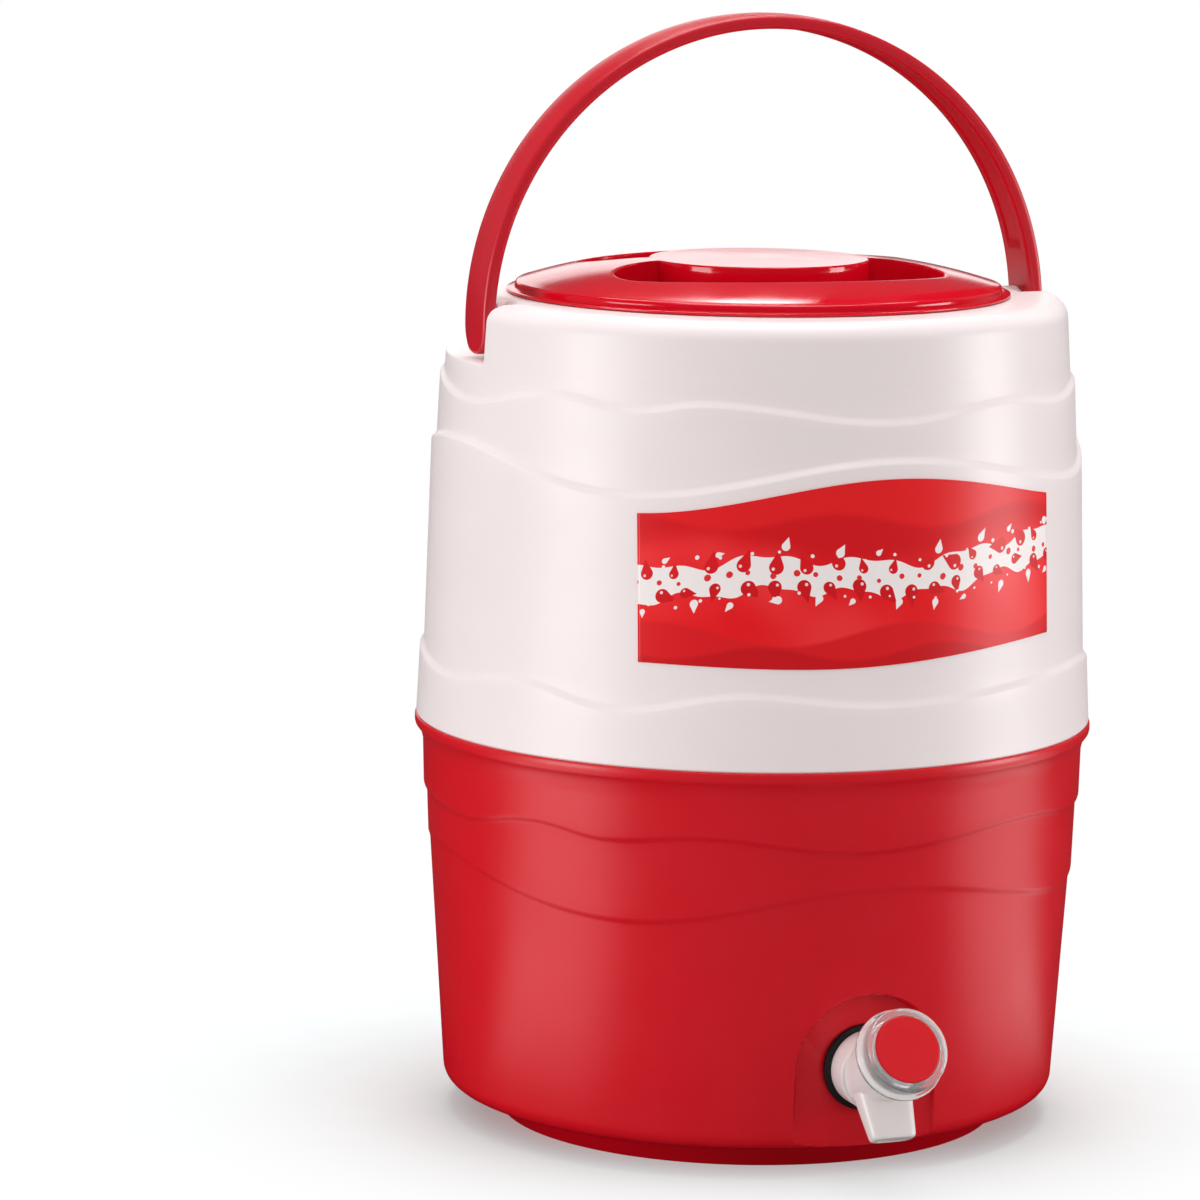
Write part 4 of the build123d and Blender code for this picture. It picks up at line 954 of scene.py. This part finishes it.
def lid_skin(inset):
    """Rows from the middle of the lid out to its lip, set in by inset: flat top, scoop
    wall down, floor, wall up, dome and nose. Where no scoop is, its rows lie on the dome,
    and where it is narrow its roundings are at most 0.3 of its width."""
    a, inside, outside = scoop_limits(72)
    a = np.concatenate([np.linspace(0, a[0], 5)[:-1], a])
    inside, outside = (np.concatenate([np.full(4, inside[0]), v]) for v in (inside, outside))
    # One quarter is mirrored into four
    angle = np.concatenate([a, np.pi - a[::-1], np.pi + a, 2 * np.pi - a[::-1]])
    r1, r2 = (np.concatenate([v, v[::-1], v, v[::-1]]) for v in (inside, outside))
    scooped = r2 - r1 > 0.02
    r1, r2 = r1 - inset * scooped, r2 + inset * scooped
    wide = r2 - r1
    edge, fillet = (np.minimum(size, 0.3 * wide) for size in (SCOOP_EDGE, SCOOP_FOOT))
    top, far, floor = dome(r1) - inset, dome(r2) - inset, SCOOP_FLOOR - inset
    t = np.radians([0, 22.5, 45, 67.5, 90])[:, None]
    rows_r, rows_z = [], []

    def rows(r, z):
        """Adds rows of radii and heights, of which either may be the same in a row."""
        size = (len(r), len(angle))
        rows_r.append(np.broadcast_to(r, size))
        rows_z.append(np.broadcast_to(z, size))

    def on_dome(r, drop=0):
        """Adds rows that lie on the dome or below it by drop."""
        rows(r, dome(r) - inset - drop)

    on_dome((r1 - edge) * np.linspace(0, 1, 8)[:, None])
    rows(r1 - edge * (1 - np.sin(t)), top - edge * (1 - np.cos(t)))
    down = np.linspace(0, 1, 5)[1:-1, None]
    rows(r1 + 0 * down, top - edge - (top - edge - floor - fillet) * down * scooped)
    curve = floor + fillet * (1 - np.sin(t))
    rows(r1 + fillet * (1 - np.cos(t)), np.where(scooped, curve, top))
    across = (wide - 2 * fillet) * np.linspace(0, 1, 9)[1:-1, None]
    rows(r1 + fillet + across, np.where(scooped, floor, top))
    rows(r2 - fillet * (1 - np.sin(t)), np.where(scooped, floor + fillet * (1 - np.cos(t)), far))
    rows(r2 + 0 * down, far - edge - (far - edge - floor - fillet) * (1 - down) * scooped)
    on_dome(r2 + edge * (1 - np.cos(t)), edge * (1 - np.sin(t)))
    rim = NOSE - inset - NOSE_ROUND
    on_dome(r2 + edge + (rim - r2 - edge) * np.linspace(0, 1, 15)[1:, None])
    low = dome(rim) - inset - NOSE_ROUND
    rows(rim + NOSE_ROUND * np.sin(t[1:]), low + NOSE_ROUND * np.cos(t[1:]))
    return np.vstack(rows_r), np.vstack(rows_z), angle


def lid_cover():
    """Closed skin of the lid cover, turned 6 degrees: top, lip, then back under it."""
    r_top, z_top, angle = lid_skin(0)
    r_low, z_low, _ = lid_skin(2.0)
    lip = np.array([
        (NOSE, 372.1), (108.5, 371.65), (109.0, 371.5), (111.6, 371.5), (111.9, 371.35),
        (112, 371.05), (111.9, 370.5), (111.6, 370.25), (106.8, 370.25), (106.4, 370.5),
    ])
    ones = np.ones((1, len(angle)))
    r = np.vstack([r_top, lip[:, :1] * ones, r_low[::-1]])
    z = np.vstack([z_top, lip[:, 1:] * ones, z_low[::-1]])
    a = angle - math.radians(6)
    return surface(np.stack([r * np.cos(a), r * np.sin(a), z], axis=-1))


# Polypropylene from a polished mould, the glossiest part of the jug
red_lid = moulded("polished red polypropylene", "#D0041C", "#D80824", 0.12, 0.0, 0.5, 1.5, 0.04)
piece("red_lid_cover", "lid", red_lid, [lid_cover()], ["lid_cover"], sharp=38)


# ------------------------------------------------------------------ Camera
# The photograph's view: 22.3 degrees to the left of the tap and 9.8 degrees above, from
# 2.4 m away with a long lens.

eye = Vector((-0.89498194, -2.18219146, 0.59902401))
right = Vector((0.93644745, -0.35063283, 0.01108146))
up = Vector((0.04389545, 0.1484563, 0.98794429))
ahead = Vector((0.34805082, 0.92467148, -0.15441271))
lens = bpy.data.cameras.new("camera")
lens.sensor_width = 36
lens.lens = 159.495
lens.clip_start, lens.clip_end = 0.05, 50
camera = bpy.data.objects.new("camera", lens)
camera.matrix_world = Matrix.Translation(eye) @ Matrix((right, up, -ahead)).transposed().to_4x4()
bpy.context.scene.collection.objects.link(camera)
bpy.context.scene.camera = camera


# ------------------------------------------------------------ Floor and lights
# A white sweep under and behind the jug, which keeps its soft shadow near the foot and
# runs out to plain white, large soft boxes at the sides and above, and a pale room.

def rays(tree):
    """Light path outputs, and 1 for what the camera sees, straight or through clear
    plastic."""
    path = add(tree, "LightPath").outputs
    seen = {0: path["Is Camera Ray"], 1: path["Transmission Depth"]}
    seen = {0: add(tree, "Math", seen, operation="MAXIMUM"), 1: path["Is Transmission Ray"]}
    return path, add(tree, "Math", seen, operation="MAXIMUM", use_clamp=True)


def white_floor():
    """Matt white near the jug with a fifth of plain white, which takes over at 0.4 m from
    a point behind the jug. In reflections it is dark, but for two bands that begin 0.17 m
    to the left and right of the jug, where it glows: painted reflections, which give the
    tub its side highlights."""
    material, tree = start_material("matt white sweep")
    place = add(tree, "TexCoord").outputs["Object"]
    path, seen = rays(tree)
    # The camera sees the floor's white tinted faintly cyan, colour painted to cancel the pink light
    # that the red tub throws on to it
    grain = add(tree, "TexNoise", {"Vector": place, "Scale": 40.0, "Detail": 2.0})
    tint = {0: grain, 6: linear("#E8F2F2"), 7: linear("#ECF6F6")}
    tint = add(tree, "Mix", tint, data_type="RGBA")
    # The light that it throws back on to the jug comes from a greyer floor
    dimmed = {0: path["Is Camera Ray"], 6: linear("#BEBEBE"), 7: tint}
    dimmed = add(tree, "Mix", dimmed, data_type="RGBA")
    matt = add(tree, "BsdfDiffuse", {"Color": dimmed})
    behind = add(tree, "VectorMath", {0: place, 1: (0.05, 0.13, 0)}, operation="DISTANCE")
    fade = {"Value": behind, "From Min": 0.19, "From Max": 0.4, "To Min": 0.2}
    fade = add(tree, "MapRange", fade, **SMOOTH)
    far = add(tree, "VectorMath", {0: place}, operation="LENGTH")
    beyond = {"Value": far, "From Min": 0.17, "From Max": 0.34}
    beyond = add(tree, "MapRange", beyond, **SMOOTH)
    # Two bands of the floor glow in reflections only: painted reflections standing in for lamps at
    # the tub's sides
    ray = add(tree, "VectorMath", {0: place}, operation="NORMALIZE")
    painted_reflections = []
    for side, strength in (((-0.994, -0.105, 0), 2.2), ((0.921, -0.391, 0), 1.7)):
        facing = add(tree, "VectorMath", {0: ray, 1: side}, operation="DOT_PRODUCT")
        painted_reflections.append(add(tree, "MapRange", {
            "Value": facing, "From Min": 0.9, "From Max": 0.99, "To Min": 0.03,
            "To Max": strength,
        }, **SMOOTH))
    painted_reflection = add(tree, "Math", {0: painted_reflections[0], 1: painted_reflections[1]}, operation="MAXIMUM")
    painted_reflection = add(tree, "Math", {0: painted_reflection, 1: beyond}, operation="MULTIPLY")
    level = {0: path["Is Glossy Ray"], 2: 1.0, 3: painted_reflection}
    level = add(tree, "Mix", level, data_type="FLOAT")
    white = add(tree, "Emission", {"Color": linear("#FFFFFF"), "Strength": level})
    share = add(tree, "Math", {0: fade, 1: seen}, operation="MULTIPLY")
    share = add(tree, "Math", {0: share, 1: path["Is Glossy Ray"]}, operation="MAXIMUM")
    shader = add(tree, "MixShader", {0: share, 1: matt, 2: white})
    add(tree, "OutputMaterial", {0: shader})
    return material


ground = bpy.data.meshes.new("floor")
ground.from_pydata([(-20, -20, 0), (20, -20, 0), (20, 20, 0), (-20, 20, 0)], [], [(0, 1, 2, 3)])
ground.materials.append(white_floor())
floor = bpy.data.objects.new("floor", ground)
bpy.context.scene.collection.objects.link(floor)


def soft_box(name, place, aim, width, height, power):
    """Area lamp of a size in metres at a place, turned to face a point."""
    lamp = bpy.data.lights.new(name, "AREA")
    lamp.shape, lamp.size, lamp.size_y, lamp.energy = "RECTANGLE", width, height, power
    box = bpy.data.objects.new(name, lamp)
    box.location = place
    box.rotation_mode = "QUATERNION"
    box.rotation_quaternion = (Vector(aim) - Vector(place)).to_track_quat("-Z", "Y")
    box.visible_camera = False
    bpy.context.scene.collection.objects.link(box)


# The side boxes stay low, so that the lid's flat middle mirrors little of them
soft_box("tall box on the right", (2.0, -0.85, 0.24), (0, 0, 0.22), 0.8, 0.95, 18)
soft_box("tall box on the left", (-2.15, -0.25, 0.24), (0, 0, 0.22), 0.9, 0.95, 19)
soft_box("strip above and behind", (0.62, 1.5, 1.86), (0, 0, 0.38), 1.25, 0.16, 7)
soft_box("box overhead", (0.1, 0.1, 1.9), (0, 0, 0.38), 1.1, 1.1, 15)

room = bpy.data.worlds.new("pale room")
bpy.context.scene.world = room
room.use_nodes = True
sky = room.node_tree
sky.nodes.clear()
path, seen = rays(sky)
way = add(sky, "TexCoord").outputs["Generated"]
_, depth, height = add(sky, "SeparateXYZ", {0: way}).outputs
# What lights the jug: pale all round, brighter towards the ceiling
level = {"Value": height, "From Min": 0.0, "From Max": 0.5, "To Min": 0.54, "To Max": 0.74}
level = add(sky, "MapRange", level, **SMOOTH)
# What shiny surfaces mirror: dark in front, pale grey behind up to 36 degrees, and a
# white screen straight behind, which the lid's flat middle shows
grey = {"Value": height, "From Min": 0.56, "From Max": 0.61, "To Min": 0.19, "To Max": 0.0}
grey = add(sky, "MapRange", grey, **SMOOTH)
back = add(sky, "MapRange", {"Value": depth, "From Min": -0.1, "From Max": 0.3}, **SMOOTH)
straight = add(sky, "VectorMath", {0: way, 1: (0.252, 0.968, 0)}, operation="DOT_PRODUCT")
sides = {"Value": straight, "From Min": 0.7, "From Max": 0.82, "To Min": 1.0, "To Max": 0.4}
sides = add(sky, "MapRange", sides, **SMOOTH)
back = add(sky, "Math", {0: back, 1: sides}, operation="MULTIPLY")
grey = add(sky, "Math", {0: grey, 1: back, 2: 0.03}, operation="MULTIPLY_ADD")
screen = {"Value": straight, "From Min": 0.955, "From Max": 0.97, "To Max": 1.4}
screen = add(sky, "MapRange", screen, **SMOOTH)
above = {"Value": height, "From Min": 0.058, "From Max": 0.066}
above = add(sky, "MapRange", above, **SMOOTH)
mirrored = add(sky, "Math", {0: screen, 1: above, 2: grey}, operation="MULTIPLY_ADD")
# What the camera sees is plain white
strength = {0: path["Is Glossy Ray"], 2: level, 3: mirrored}
strength = add(sky, "Mix", strength, data_type="FLOAT")
strength = add(sky, "Mix", {0: seen, 2: strength, 3: 1.0}, data_type="FLOAT")
glow = add(sky, "Background", {"Color": linear("#FFFFFF"), "Strength": strength})
add(sky, "OutputWorld", {0: glow})

bpy.context.scene.view_settings.view_transform = "Standard"
